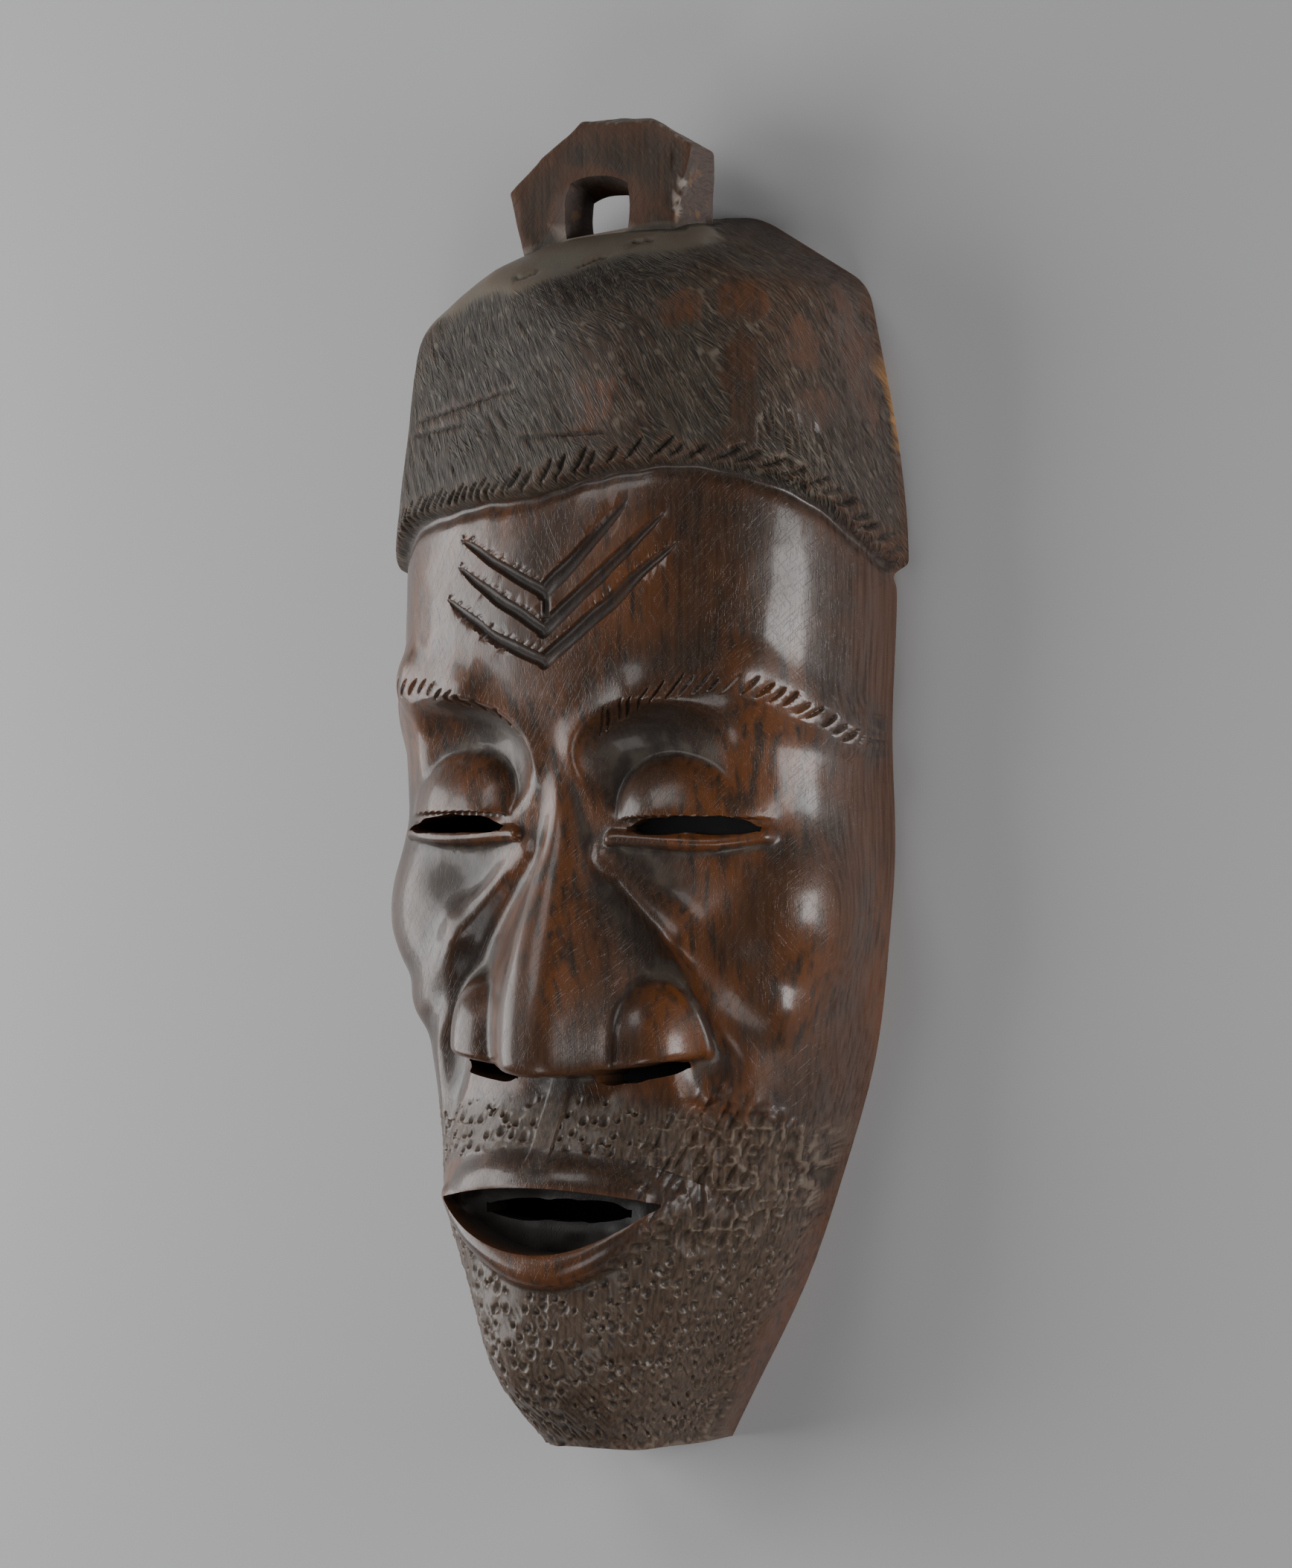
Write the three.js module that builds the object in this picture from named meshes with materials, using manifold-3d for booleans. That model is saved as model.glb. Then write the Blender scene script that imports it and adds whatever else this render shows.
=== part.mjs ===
// A carved hardwood wall mask, cut from one piece of wood: a long face under a smooth cap,
// with a pierced lug on the crown to hang it by. It lies on its back rim, face up.
//
// Millimetres. +X is to the right of someone looking at the face, +Y runs from the chin to the
// crown, and +Z comes out of the face. The back rim lies on z = 0.

import * as THREE from 'three';
import { mergeVertices } from 'three/addons/utils/BufferGeometryUtils.js';
import Module from 'manifold-3d';

const wasm = await Module();
wasm.setup();

// Driving dimensions
const FACE_HALF = 83.5;
const CHIN_TAPER = 0.72;
const CHIN_Y = -210;
const CROWN_START = 100;
const CROWN_Y = 182;
const CROWN_FALL = 0.06;
const CROWN_POWER = 5;
const WALL = 14;
const CHIN_WALL = 16;
const HOLLOW_ROUNDING = 12;
const CAP = { thick: 3, rimThick: 4.6, swell: 60 };
const EYE_Y = -13;
const EYE_MIDDLE = 42;
const EYE_SLIT = { half: 23, top: 2.2, bottom: -3.3, splay: 20 };
const LID_SWEEP = 0.25;
const NOSE = { top: 20, baseY: -91, end: -100 };
const NOSTRIL_SLIT = { inner: 15, outer: 42, height: 5.2 };
const MOUTH_HALF = 42;
const MOUTH_Y = -131;
const MOUTH_SLIT = { half: 27, top: -130.5, bottom: -137.5 };
const POCKET_FLOOR = 66;
const LUG = { back: 28, front: 42 };
const HOLE = { back: 16, front: 72, ceiling: 183, fall: 0.38 };
const GROOVE_DEPTH = 2.2;

// A smooth curve through stations [position, value], level at neither end
class Curve {
  constructor(stations) {
    this.stations = [...stations].sort((a, b) => a[0] - b[0]);
    const s = this.stations;
    const slope = (i) => (s[i + 1][1] - s[i][1]) / (s[i + 1][0] - s[i][0]);
    this.tangents = s.map((_, i) => {
      if (i === 0) return slope(0);
      if (i === s.length - 1) return slope(i - 1);
      return (slope(i - 1) + slope(i)) / 2;
    });
  }

  at(position) {
    const s = this.stations;
    const q = THREE.MathUtils.clamp(position, s[0][0], s[s.length - 1][0]);
    let i = 0;
    while (i < s.length - 2 && q > s[i + 1][0]) i += 1;
    const h = s[i + 1][0] - s[i][0];
    const t = (q - s[i][0]) / h;
    const t2 = t * t;
    const t3 = t2 * t;
    return (2 * t3 - 3 * t2 + 1) * s[i][1] + (t3 - 2 * t2 + t) * h * this.tangents[i]
      + (3 * t2 - 2 * t3) * s[i + 1][1] + (t3 - t2) * h * this.tangents[i + 1];
  }
}

// The head narrows along a parabola from the eyes to the chin
function halfWidth(y) {
  const run = THREE.MathUtils.clamp((EYE_Y - y) / (EYE_Y - CHIN_Y), 0, 1);
  return FACE_HALF * (1 - CHIN_TAPER * run * run);
}

// The head's depth, and how square its section is, along Y
const frontDepth = new Curve([[176, 73], [110, 71], [60, 75], [30, 74], [5, 66], [-25, 62], [-60, 62],
  [-91, 66], [-131, 73], [-165, 76.5], [-190, 72], [-210, 53]]);
const squareness = new Curve([[176, 2.4], [30, 2.4], [-40, 2.8], [-110, 2.55], [-210, 2.8]]);

// The cap's rim: its height against the angle around the head, 0 at the front
const rimHeight = new Curve([[-90, 62], [-65, 68], [-56, 74], [-41, 82.5], [-23, 86.5], [0, 90],
  [22, 97], [49, 95], [64, 86], [78, 74], [90, 65]]);
const rimAt = ([x, , z]) => rimHeight.at(THREE.MathUtils.radToDeg(Math.atan2(x, Math.max(z, 0.5))));

// The nose along Y: the height of its flat ridge, half the ridge's width, and its sides' slope
const noseRidge = new Curve([[24, 68], [2, 66], [-14, 68], [-74, 89.5], [-88, 90], [-98, 85]]);
const noseFlat = new Curve([[24, 6], [0, 3.5], [-20, 3.5], [-60, 6.5], [-95, 8]]);
const noseSlope = new Curve([[0, 0.6], [-30, 0.88], [-60, 0.92], [-95, 0.82]]);

const slitY = (x) => EYE_Y - ((x - EYE_MIDDLE) / 30) ** 2 * 2.5;
const noseBaseY = (x) => NOSE.baseY + 0.003 * x * x;
const mouthArch = (x) => THREE.MathUtils.clamp(1 - (x / MOUTH_HALF) ** 2, 0, 1);

// Soft joins and cuts of two distances, rounded over a width
function softMin(a, b, width) {
  const overlap = Math.max(width - Math.abs(a - b), 0) / width;
  return Math.min(a, b) - overlap * overlap * width / 4;
}

const softMax = (a, b, width) => -softMin(-a, -b, width);

// Distances from a point to the simple forms that the face is carved from
function ellipsoid([x, y, z], centre, radii) {
  const px = x - centre[0];
  const py = y - centre[1];
  const pz = z - centre[2];
  const near = Math.hypot(px / radii[0], py / radii[1], pz / radii[2]);
  const slope = Math.hypot(px / radii[0] ** 2, py / radii[1] ** 2, pz / radii[2] ** 2);
  return near * (near - 1) / Math.max(slope, 1e-9);
}

// A rounded box, blown out towards its corners by its power
function roundedBox([x, y, z], centre, radii, power) {
  const q = [x, y, z].map((value, axis) => Math.abs(value - centre[axis]) / radii[axis]);
  const near = Math.max(q[0] ** power + q[1] ** power + q[2] ** power, 1e-9) ** (1 / power);
  const slope = Math.hypot(...q.map((value, axis) => value ** (power - 1) / radii[axis]));
  return (near - 1) / Math.max(slope * near ** (1 - power), 1 / 60);
}

function cone([x, y, z], [a, startRadius], [b, endRadius]) {
  const d = [b[0] - a[0], b[1] - a[1], b[2] - a[2]];
  const along = (x - a[0]) * d[0] + (y - a[1]) * d[1] + (z - a[2]) * d[2];
  const t = THREE.MathUtils.clamp(along / (d[0] ** 2 + d[1] ** 2 + d[2] ** 2), 0, 1);
  const away = Math.hypot(x - a[0] - t * d[0], y - a[1] - t * d[1], z - a[2] - t * d[2]);
  return away - startRadius - (endRadius - startRadius) * t;
}

function chain(point, links, width) {
  let distance = cone(point, links[0], links[1]);
  for (let i = 1; i < links.length - 1; i += 1) {
    distance = softMin(distance, cone(point, links[i], links[i + 1]), width);
  }
  return distance;
}

// The right-hand form and its twin on the left
function bothSides(form, [x, y, z], width) {
  return softMin(form([x, y, z]), form([-x, y, z]), width);
}

function head([x, y, z]) {
  const width = halfWidth(y);
  const depth = frontDepth.at(y);
  const p = squareness.at(y);
  const side = Math.abs(x);
  const front = Math.max(z, 0);
  const crownHeight = CROWN_Y - CROWN_FALL * front - CROWN_START;
  const crown = Math.max(0, y - CROWN_START) / crownHeight;
  const sum = Math.max((side / width) ** p + (front / depth) ** p + crown ** CROWN_POWER, 1e-9);
  const near = sum ** (1 / p);
  const rate = sum ** (1 / p - 1);
  const slope = Math.hypot(
    rate * side ** (p - 1) / width ** p,
    rate * front ** (p - 1) / depth ** p,
    rate * (CROWN_POWER / p) * crown ** (CROWN_POWER - 1) / crownHeight,
  );
  return (near - 1) / Math.max(slope, 1 / 90);
}

const muzzle = (point) => ellipsoid(point, [0, -128, 36], [50, 36, 40]);
const cheekbone = (point) => ellipsoid(point, [54, -42, 31.5], [27, 26, 23]);
const socket = (point) => roundedBox(point, [44, 3, 77.5], [38, 22.5, 24], 2.3);
const basin = (point) => ellipsoid(point, [43, -30, 80], [28, 14, 22]);
const brow = (point) => chain(point,
  [[[11, 12, 61], 7], [[32, 25, 63], 9], [[56, 31, 53], 9], [[78, 14, 20], 6]], 5);

// A crest runs from under the eye's inner corner straight down across the cheek, and a hollow runs
// under it from beside the nose to beside the corner of the mouth
const crest = (point) => chain(point, [[[14, -24, 61], 2.5], [[40, -49, 57], 5], [[62, -71, 40.5], 8]], 5);
const cheekHollow = (point) => chain(point,
  [[[18, -34, 68], 5.5], [[36, -62, 68], 10.5], [[52, -90, 63.5], 12.5], [[58, -124, 61], 9.5]], 4);

// The carver's hand: the face leans a little instead of being ruled
const lean = ([x, y, z]) => [
  x + 0.9 * Math.sin(y * 0.031 + 1.3) + 0.4 * Math.sin(y * 0.09),
  y + 0.8 * Math.sin(x * 0.045 + 0.4) + 0.35 * Math.sin(x * 0.13 + 1),
  z,
];

const skin = (point) => softMin(head(point), muzzle(point), 14);

function carvedFace(point) {
  const leaning = lean(point);
  let form = skin(leaning);
  form = softMin(form, bothSides(cheekbone, leaning, 2), 14);
  form = softMin(form, bothSides(brow, leaning, 6), 9);
  form = softMax(form, -bothSides(socket, leaning, 1), 2.5);
  form = softMax(form, -bothSides(basin, leaning, 1), 8);
  form = softMin(form, bothSides(crest, leaning, 1), 7);
  return softMax(form, -bothSides(cheekHollow, leaning, 1), 2.5);
}

// A ray through the point (u, v) of a square, from a spine inside the head to the outside.
// The square's four sides fall on the plane of the back rim.
function ray(u, v) {
  const x = u * Math.sqrt(1 - v * v / 2);
  const y = v * Math.sqrt(1 - u * u / 2);
  const z = Math.sqrt(Math.max(0, 1 - x * x - y * y));
  const direction = new THREE.Vector3(84 * x, 42 * y - 26 * (1 - y * y), 84 * z).normalize();
  return { start: new THREE.Vector3(0, -17 + 150 * y, 0), direction };
}

// Where the ray leaves the form for good
function castOut({ start, direction }, form) {
  const point = new THREE.Vector3();
  const inside = (t) => form(point.copy(start).addScaledVector(direction, t).toArray()) < 0;
  const step = 1.5;
  let far = 130;
  while (far > step && !inside(far - step)) far -= step;
  let near = far - step;
  for (let i = 0; i < 12; i += 1) {
    const middle = (near + far) / 2;
    if (inside(middle)) near = middle;
    else far = middle;
  }
  return start.clone().addScaledVector(direction, (near + far) / 2);
}

// Solids
function solid(geometry) {
  geometry.deleteAttribute('normal');
  geometry.deleteAttribute('uv');
  const merged = mergeVertices(geometry, 1e-4);
  return new wasm.Manifold(new wasm.Mesh({
    numProp: 3,
    vertProperties: new Float32Array(merged.attributes.position.array),
    triVerts: new Uint32Array(merged.index.array),
  }));
}

function movePoints(geometry, move) {
  const position = geometry.attributes.position;
  const point = new THREE.Vector3();
  for (let i = 0; i < position.count; i += 1) {
    const [x, y, z] = move(point.fromBufferAttribute(position, i).toArray());
    position.setXYZ(i, x, y, z);
  }
  return geometry;
}

// A form's skin as a closed body: a grid cast onto the form and closed at the back. Each cell's
// diagonal runs out from the middle, so that the two sides are alike.
function shell(form, columns, rows, spreadU, spreadV, backZ, hub) {
  const grid = new THREE.PlaneGeometry(2, 2, columns, rows);
  movePoints(grid, ([gu, gv]) => {
    const u = spreadU(gu);
    const v = spreadV(gv);
    const hit = castOut(ray(u, v), form);
    if (Math.abs(u) > 0.9999 || Math.abs(v) > 0.9999) hit.z = backZ;
    return hit.toArray();
  });
  const corner = (ix, iy) => ix + (columns + 1) * iy;
  const loop = [];
  for (let ix = 0; ix < columns; ix += 1) loop.push(corner(ix, rows));
  for (let iy = rows; iy > 0; iy -= 1) loop.push(corner(columns, iy));
  for (let ix = columns; ix > 0; ix -= 1) loop.push(corner(ix, 0));
  for (let iy = 0; iy < rows; iy += 1) loop.push(corner(0, iy));
  const index = [];
  for (let iy = 0; iy < rows; iy += 1) {
    for (let ix = 0; ix < columns; ix += 1) {
      const [a, b] = [corner(ix, iy), corner(ix, iy + 1)];
      const [d, c] = [corner(ix + 1, iy), corner(ix + 1, iy + 1)];
      const turned = spreadU(2 * (ix + 0.5) / columns - 1) * spreadV(1 - 2 * (iy + 0.5) / rows) < 0;
      index.push(...(turned ? [a, b, c, a, c, d] : [a, b, d, b, c, d]));
    }
  }
  const middle = grid.attributes.position.count;
  loop.forEach((current, i) => index.push(loop[(i + 1) % loop.length], current, middle));
  const body = new THREE.BufferGeometry();
  const points = [...grid.attributes.position.array, ...hub];
  body.setAttribute('position', new THREE.Float32BufferAttribute(points, 3));
  body.setIndex(index);
  return solid(body);
}

// A rounded box: a sphere blown out towards its corners
function pillow(centre, radii, power, bend = (point) => point) {
  return solid(movePoints(new THREE.SphereGeometry(1, 18, 12), (n) => {
    const sum = n.reduce((total, value) => total + Math.abs(value) ** power, 0);
    const size = sum ** (-1 / power);
    return bend(n.map((value, axis) => centre[axis] + radii[axis] * value * size));
  }));
}

// A flat outline given by its points, pushed along Z
function slab(points, low, high) {
  const outline = new THREE.Shape(points.map(([x, y]) => new THREE.Vector2(x, y)));
  const body = new THREE.ExtrudeGeometry(outline, { depth: high - low, bevelEnabled: false });
  return body.translate(0, 0, low);
}

// The band between two curves over x, as an outline
function band(from, to, steps, top, bottom) {
  const upper = [];
  const lower = [];
  for (let i = 0; i <= steps; i += 1) {
    const x = from + (to - from) * i / steps;
    upper.push([x, top(x)]);
    lower.push([x, bottom(x)]);
  }
  return [...lower, ...upper.reverse()];
}

// A rod that follows a path, with its own half height and half thickness at each step
function rod(path, steps, sides, section) {
  const body = new THREE.CylinderGeometry(1, 1, 2, sides, steps);
  return solid(movePoints(body, ([cx, cy, cz]) => {
    const t = (cy + 1) / 2;
    const point = path.getPoint(t);
    const tangent = path.getTangent(t);
    const out = new THREE.Vector3(0, 0, 1).addScaledVector(tangent, -tangent.z).normalize();
    const across = new THREE.Vector3().crossVectors(out, tangent);
    const [halfHeight, halfThickness] = section(t);
    point.addScaledVector(across, cx * halfHeight).addScaledVector(out, -cz * halfThickness);
    return point.toArray();
  }));
}

const mirrorX = (points) => points.map(([x, y]) => [-x, y]).reverse();

// The height of a form's skin above a point of the back plane
function heightAt(form, x, y) {
  return castOut({ start: new THREE.Vector3(x, y, 0), direction: new THREE.Vector3(0, 0, 1) }, form).z;
}

// Rows and columns lie closer where the carving is
const stretch = new Curve([[-1, -1], [-0.62, -0.43], [0.7, 0.47], [1, 1]]);
const evenly = (value) => value;
const closerInMiddle = (value) => value * (0.84 + 0.16 * value * value);

let mask = shell(carvedFace, 38, 60, closerInMiddle, (v) => stretch.at(v), 0, [0, -20, 0]);

// Lids, nose and wings: the crisp forms of the face
const underLid = band(6, 96, 9, (x) => slitY(x) + 2.6, () => -80);
const behindBack = solid(new THREE.BoxGeometry(400, 600, 60).translate(0, 0, -30));
const undersideOfNose = solid(slab(band(-64, 64, 12, noseBaseY, () => -150), 0, 120));
for (const side of [1, -1]) {
  const swept = ([x, y, z]) => [x, y, z - LID_SWEEP * (side * x - EYE_MIDDLE)];
  const lid = pillow([EYE_MIDDLE * side, -18, 26], [33, 36, 38.5], 2.3, swept);
  const underside = slab(side > 0 ? underLid : mirrorX(underLid), 0, 110);
  mask = mask.add(lid.subtract(solid(underside)).subtract(behindBack));
  mask = mask.add(pillow([28 * side, -85, 46], [18.5, 27, 28], 2.3).subtract(undersideOfNose));
}

function noseSection(y) {
  const ridge = noseRidge.at(y);
  const flat = noseFlat.at(y);
  const slope = noseSlope.at(y);
  const reach = Math.min(34, 20 + 0.14 * (NOSE.top - y));
  return [
    [-flat - slope * reach, ridge - reach],
    [flat + slope * reach, ridge - reach],
    [flat + slope * 5, ridge - 5],
    [flat + slope * 2.2, ridge - 1.8],
    [Math.max(flat - 1.5, 0.8), ridge],
    [-Math.max(flat - 1.5, 0.8), ridge],
    [-flat - slope * 2.2, ridge - 1.8],
    [-flat - slope * 5, ridge - 5],
  ];
}

// The nose is a bar of unit section, drawn out to its real section at each step
const noseBar = new THREE.CylinderGeometry(1, 1, 2, 8, 12);
const nose = solid(movePoints(noseBar, ([cx, cy, cz]) => {
  const y = NOSE.end + (NOSE.top - NOSE.end) * (cy + 1) / 2;
  const corners = noseSection(y);
  if (Math.hypot(cx, cz) < 0.5) return [0, y, noseRidge.at(y) - 15];
  const turn = Math.round(Math.atan2(cx, cz) / (Math.PI / 4));
  const [x, z] = corners[(8 - turn) % 8];
  return [x, y, z];
}));
mask = mask.add(nose.subtract(undersideOfNose));

// Lips, then the open mouth between them
function lipPath(rise) {
  const points = [];
  for (let i = 0; i <= 8; i += 1) {
    const x = MOUTH_HALF * (i / 4 - 1);
    const y = MOUTH_Y + rise * mouthArch(x);
    points.push(new THREE.Vector3(x, y, heightAt(skin, x, y)));
  }
  return new THREE.CatmullRomCurve3(points);
}

const archAlong = (t) => mouthArch(MOUTH_HALF * (2 * t - 1));
const lowerLip = rod(lipPath(-20), 16, 10, (t) => {
  const radius = 2.6 + 3.9 * Math.sqrt(archAlong(t));
  return [radius, radius];
});
const upperLip = rod(lipPath(7.5), 14, 8, (t) => {
  const radius = 2.2 + 2.0 * archAlong(t);
  return [1.6 * radius, radius];
});
mask = mask.add(lowerLip).add(upperLip);

const pocketOutline = band(2 - MOUTH_HALF, MOUTH_HALF - 2, 14,
  (x) => MOUTH_Y + 0.2 + 4.5 * mouthArch(x * 1.04),
  (x) => MOUTH_Y - 0.2 - 16 * mouthArch(x * 1.04));
mask = mask.subtract(solid(slab(pocketOutline, POCKET_FLOOR, 120)));

// The cap: the head's own form grown outwards, most at the rim
function capForm(point) {
  const above = point[1] - rimAt(point);
  const swell = (CAP.rimThick - CAP.thick) * (1 - THREE.MathUtils.smoothstep(above, 0, CAP.swell));
  return head(point) - CAP.thick - swell;
}
const capRows = (v) => 0.69 + 0.31 * v;
const capBody = shell(capForm, 28, 18, evenly, capRows, 0, [0, 100, 0]);

// Everything above the rim: a drum whose floor rises and falls with the rim
const drum = new THREE.CylinderGeometry(130, 130, 2, 56);
const overRim = solid(movePoints(drum, ([x, y, z]) => {
  if (y > 0) return [x, 230, z];
  if (Math.hypot(x, z) < 1) return [x, 85, z];
  const angle = THREE.MathUtils.clamp(THREE.MathUtils.radToDeg(Math.atan2(x, z)), -90, 90);
  const headRadius = 77 + 6 * Math.abs(Math.sin(THREE.MathUtils.degToRad(angle)));
  return [x, 85 + (rimHeight.at(angle) - 85) * 130 / headRadius, z];
}));
mask = mask.add(capBody.intersect(overRim));

// Flat cuts on the cap: the way each faces, in degrees to the right and up, and how far out it lies
const flats = [[-59, 81.7, 174.4], [4, 48, 158.5], [-58, 61, 168.7], [-58, 45, 157.5], [-58, 8.5, 100.5],
  [75, 59, 170.6], [80, 12.4, 104.4], [-20, 12, 97.2], [30, 8, 96.2]];

for (const [right, up, out] of flats) {
  const waste = new THREE.BoxGeometry(400, 400, 100).translate(0, 0, out + 50);
  waste.rotateX(-THREE.MathUtils.degToRad(up)).rotateY(THREE.MathUtils.degToRad(right));
  mask = mask.subtract(solid(waste));
}

// The lug on the crown: its front outline, and its back one, which is wider below and higher on top
const lugFront = [[-27, 160], [-29.5, 169.5], [-34.4, 187], [-22, 197.5], [-7, 208], [20.5, 207],
  [34.4, 198.7], [31.7, 187.4], [27.2, 177.4], [27.2, 160]];
const lugBack = [[-28, 160], [-30, 169.5], [-35.2, 187], [-22.6, 199], [-8, 210], [10, 210],
  [34.2, 197.5], [34.4, 188], [34, 179], [34, 160]];
const lug = movePoints(slab([...lugFront].reverse(), LUG.back, LUG.front), ([x, y, z]) => {
  if (z > LUG.back + 1) return [x, y, z];
  const corner = lugFront.findIndex(([fx, fy]) => Math.hypot(fx - x, fy - y) < 0.01);
  return [...lugBack[corner], z];
});

// The door-shaped hole through the lug: its floor follows the crown, its ceiling falls to the back
const holeOutline = [[-11, 171.6], [10.5, 174], [11.2, 181], [10, 186.5], [7, 190], [3.5, 191],
  [-3, 190.3], [-8, 189], [-10.6, 186.5], [-12, 181]];
const hole = movePoints(slab(holeOutline, HOLE.back, HOLE.front), ([x, y, z]) => (
  [x, y + (y > HOLE.ceiling ? HOLE.fall * (z - LUG.front) : 0), z]));
mask = mask.add(solid(lug)).subtract(solid(hole));

// Three cut chevrons on the forehead, one over another, and a short upright bar
const chevrons = [
  [[-40, 57], [-20, 47], [0, 37], [22, 55], [44, 73]],
  [[-35, 67], [-17.5, 57], [0, 47], [20, 64.8], [40, 82.6]],
  [[-34, 75], [-17, 66.5], [0, 58], [15, 73.5], [28, 86]],
];
const onSkin = ([x, y]) => new THREE.Vector3(x, y, heightAt(carvedFace, x, y));
function groove(points, width) {
  const path = new THREE.CurvePath();
  for (let i = 1; i < points.length; i += 1) {
    path.add(new THREE.LineCurve3(onSkin(points[i - 1]), onSkin(points[i])));
  }
  const radius = width / 2;
  return rod(path, 4 * (points.length - 1), 6, () => [radius, GROOVE_DEPTH]);
}
for (const arms of chevrons) {
  mask = mask.subtract(groove(arms.slice(0, 3), 4)).subtract(groove(arms.slice(2), 5));
}
mask = mask.subtract(groove([[0, 61], [0, 53]], 3));

// The chin is sawn off flat
const belowChin = new THREE.BoxGeometry(300, 200, 300).translate(0, CHIN_Y - 100, 0);
mask = mask.subtract(solid(belowChin));

// The back is hollowed out, a wall's thickness inside the head and inside the cap's flat cuts
const facing = new THREE.Vector3();
function beyondFlat(point, [right, up, out]) {
  facing.setFromSphericalCoords(1, THREE.MathUtils.degToRad(90 - up), THREE.MathUtils.degToRad(right));
  return facing.dot(new THREE.Vector3(...point)) - out;
}
const hollowForm = (point) => flats.reduce(
  (form, flat) => softMax(form, beyondFlat(point, flat) + WALL + CAP.thick, HOLLOW_ROUNDING),
  Math.max(head(point) + WALL, CHIN_Y + CHIN_WALL - point[1]));
const hollow = shell(hollowForm, 16, 24, evenly, evenly, -6, [0, -20, -6]);
mask = mask.subtract(hollow);

// The pierced slits: under the lids, under the nose wings, and between the lips
const splay = THREE.MathUtils.degToRad(EYE_SLIT.splay);
const slitEnd = (x) => 0.8 * ((x - EYE_MIDDLE) / EYE_SLIT.half) ** 2;
const eyeOutline = band(EYE_MIDDLE - EYE_SLIT.half, EYE_MIDDLE + EYE_SLIT.half, 6,
  (x) => slitY(x) + EYE_SLIT.top - slitEnd(x),
  (x) => slitY(x) + EYE_SLIT.bottom + slitEnd(x));
const nostrilOutline = band(NOSTRIL_SLIT.inner, NOSTRIL_SLIT.outer, 4,
  (x) => noseBaseY(x) + 0.3, (x) => noseBaseY(x) + 0.3 - NOSTRIL_SLIT.height);
for (const side of [1, -1]) {
  const outline = (points) => (side > 0 ? points : mirrorX(points));
  const towards = ([x, y, z]) => [x + side * (z - 52) * Math.tan(splay), y, z];
  mask = mask.subtract(solid(movePoints(slab(outline(eyeOutline), 8, 110), towards)));
  mask = mask.subtract(solid(slab(outline(nostrilOutline), 20, 110)));
}
const mouthOpening = new THREE.BoxGeometry(
  2 * MOUTH_SLIT.half, MOUTH_SLIT.top - MOUTH_SLIT.bottom, 90);
mouthOpening.translate(0, (MOUTH_SLIT.top + MOUTH_SLIT.bottom) / 2, 75);
mask = mask.subtract(solid(mouthOpening));

// The finished solid, moved so that the frame's origin is under the middle of its box
const { vertProperties, triVerts } = mask.getMesh();
const geometry = new THREE.BufferGeometry();
geometry.setAttribute('position', new THREE.BufferAttribute(vertProperties, 3));
geometry.setIndex(new THREE.BufferAttribute(triVerts, 1));
geometry.computeBoundingBox();
const middle = geometry.boundingBox.getCenter(new THREE.Vector3());
geometry.translate(-middle.x, -middle.y, -geometry.boundingBox.min.z);
geometry.computeVertexNormals();

const darkWood = new THREE.MeshStandardMaterial({ color: 0x33221b, roughness: 0.35, metalness: 0 });
const maskMesh = new THREE.Mesh(geometry, darkWood);
maskMesh.name = 'mask';

const group = new THREE.Group();
group.add(maskMesh);
export default group;
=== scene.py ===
"""A carved hardwood wall mask, lying face up on its back rim and seen from its right-hand side.

Forms are worked out in millimetres and handed to Blender in metres. +X is to the right of someone
looking at the face, +Y runs from the chin to the crown, and +Z comes out of the face. The mask is one
piece of wood, so it is one mesh: the skin of the face and cap, with the lug joined on, the hollow and
the slits cut out, and the engraving cut into it.
"""

import itertools
import logging
import math
from contextlib import contextmanager
from dataclasses import dataclass
from enum import Enum
from typing import Any, Callable, Iterator

import bpy
import numpy as np
from mathutils import Matrix, Vector


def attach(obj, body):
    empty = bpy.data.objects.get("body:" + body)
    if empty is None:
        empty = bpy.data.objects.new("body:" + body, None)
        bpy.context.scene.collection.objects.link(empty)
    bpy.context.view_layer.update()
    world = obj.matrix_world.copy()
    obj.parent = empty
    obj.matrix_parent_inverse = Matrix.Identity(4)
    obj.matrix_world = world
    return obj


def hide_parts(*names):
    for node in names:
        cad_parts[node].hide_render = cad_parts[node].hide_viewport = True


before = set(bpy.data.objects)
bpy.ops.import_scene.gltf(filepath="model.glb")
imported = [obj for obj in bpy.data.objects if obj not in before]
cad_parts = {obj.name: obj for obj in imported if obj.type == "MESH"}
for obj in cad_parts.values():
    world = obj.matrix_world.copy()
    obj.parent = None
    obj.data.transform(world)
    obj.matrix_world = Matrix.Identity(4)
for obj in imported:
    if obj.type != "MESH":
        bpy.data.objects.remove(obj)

log = logging.getLogger("mask")
logging.basicConfig(level=logging.INFO, format="%(name)s: %(message)s")

MM = 0.001
HEAD_RADIUS = 78.0
MIRROR = (-1, 1, 1)
Array = np.ndarray
Distance = Callable[[Array], Array]
Heights = Callable[[Array], Array]
Point = tuple[float, float, float]
Spot = tuple[float, float, float, float]


# Curves, soft joins and simple forms


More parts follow.
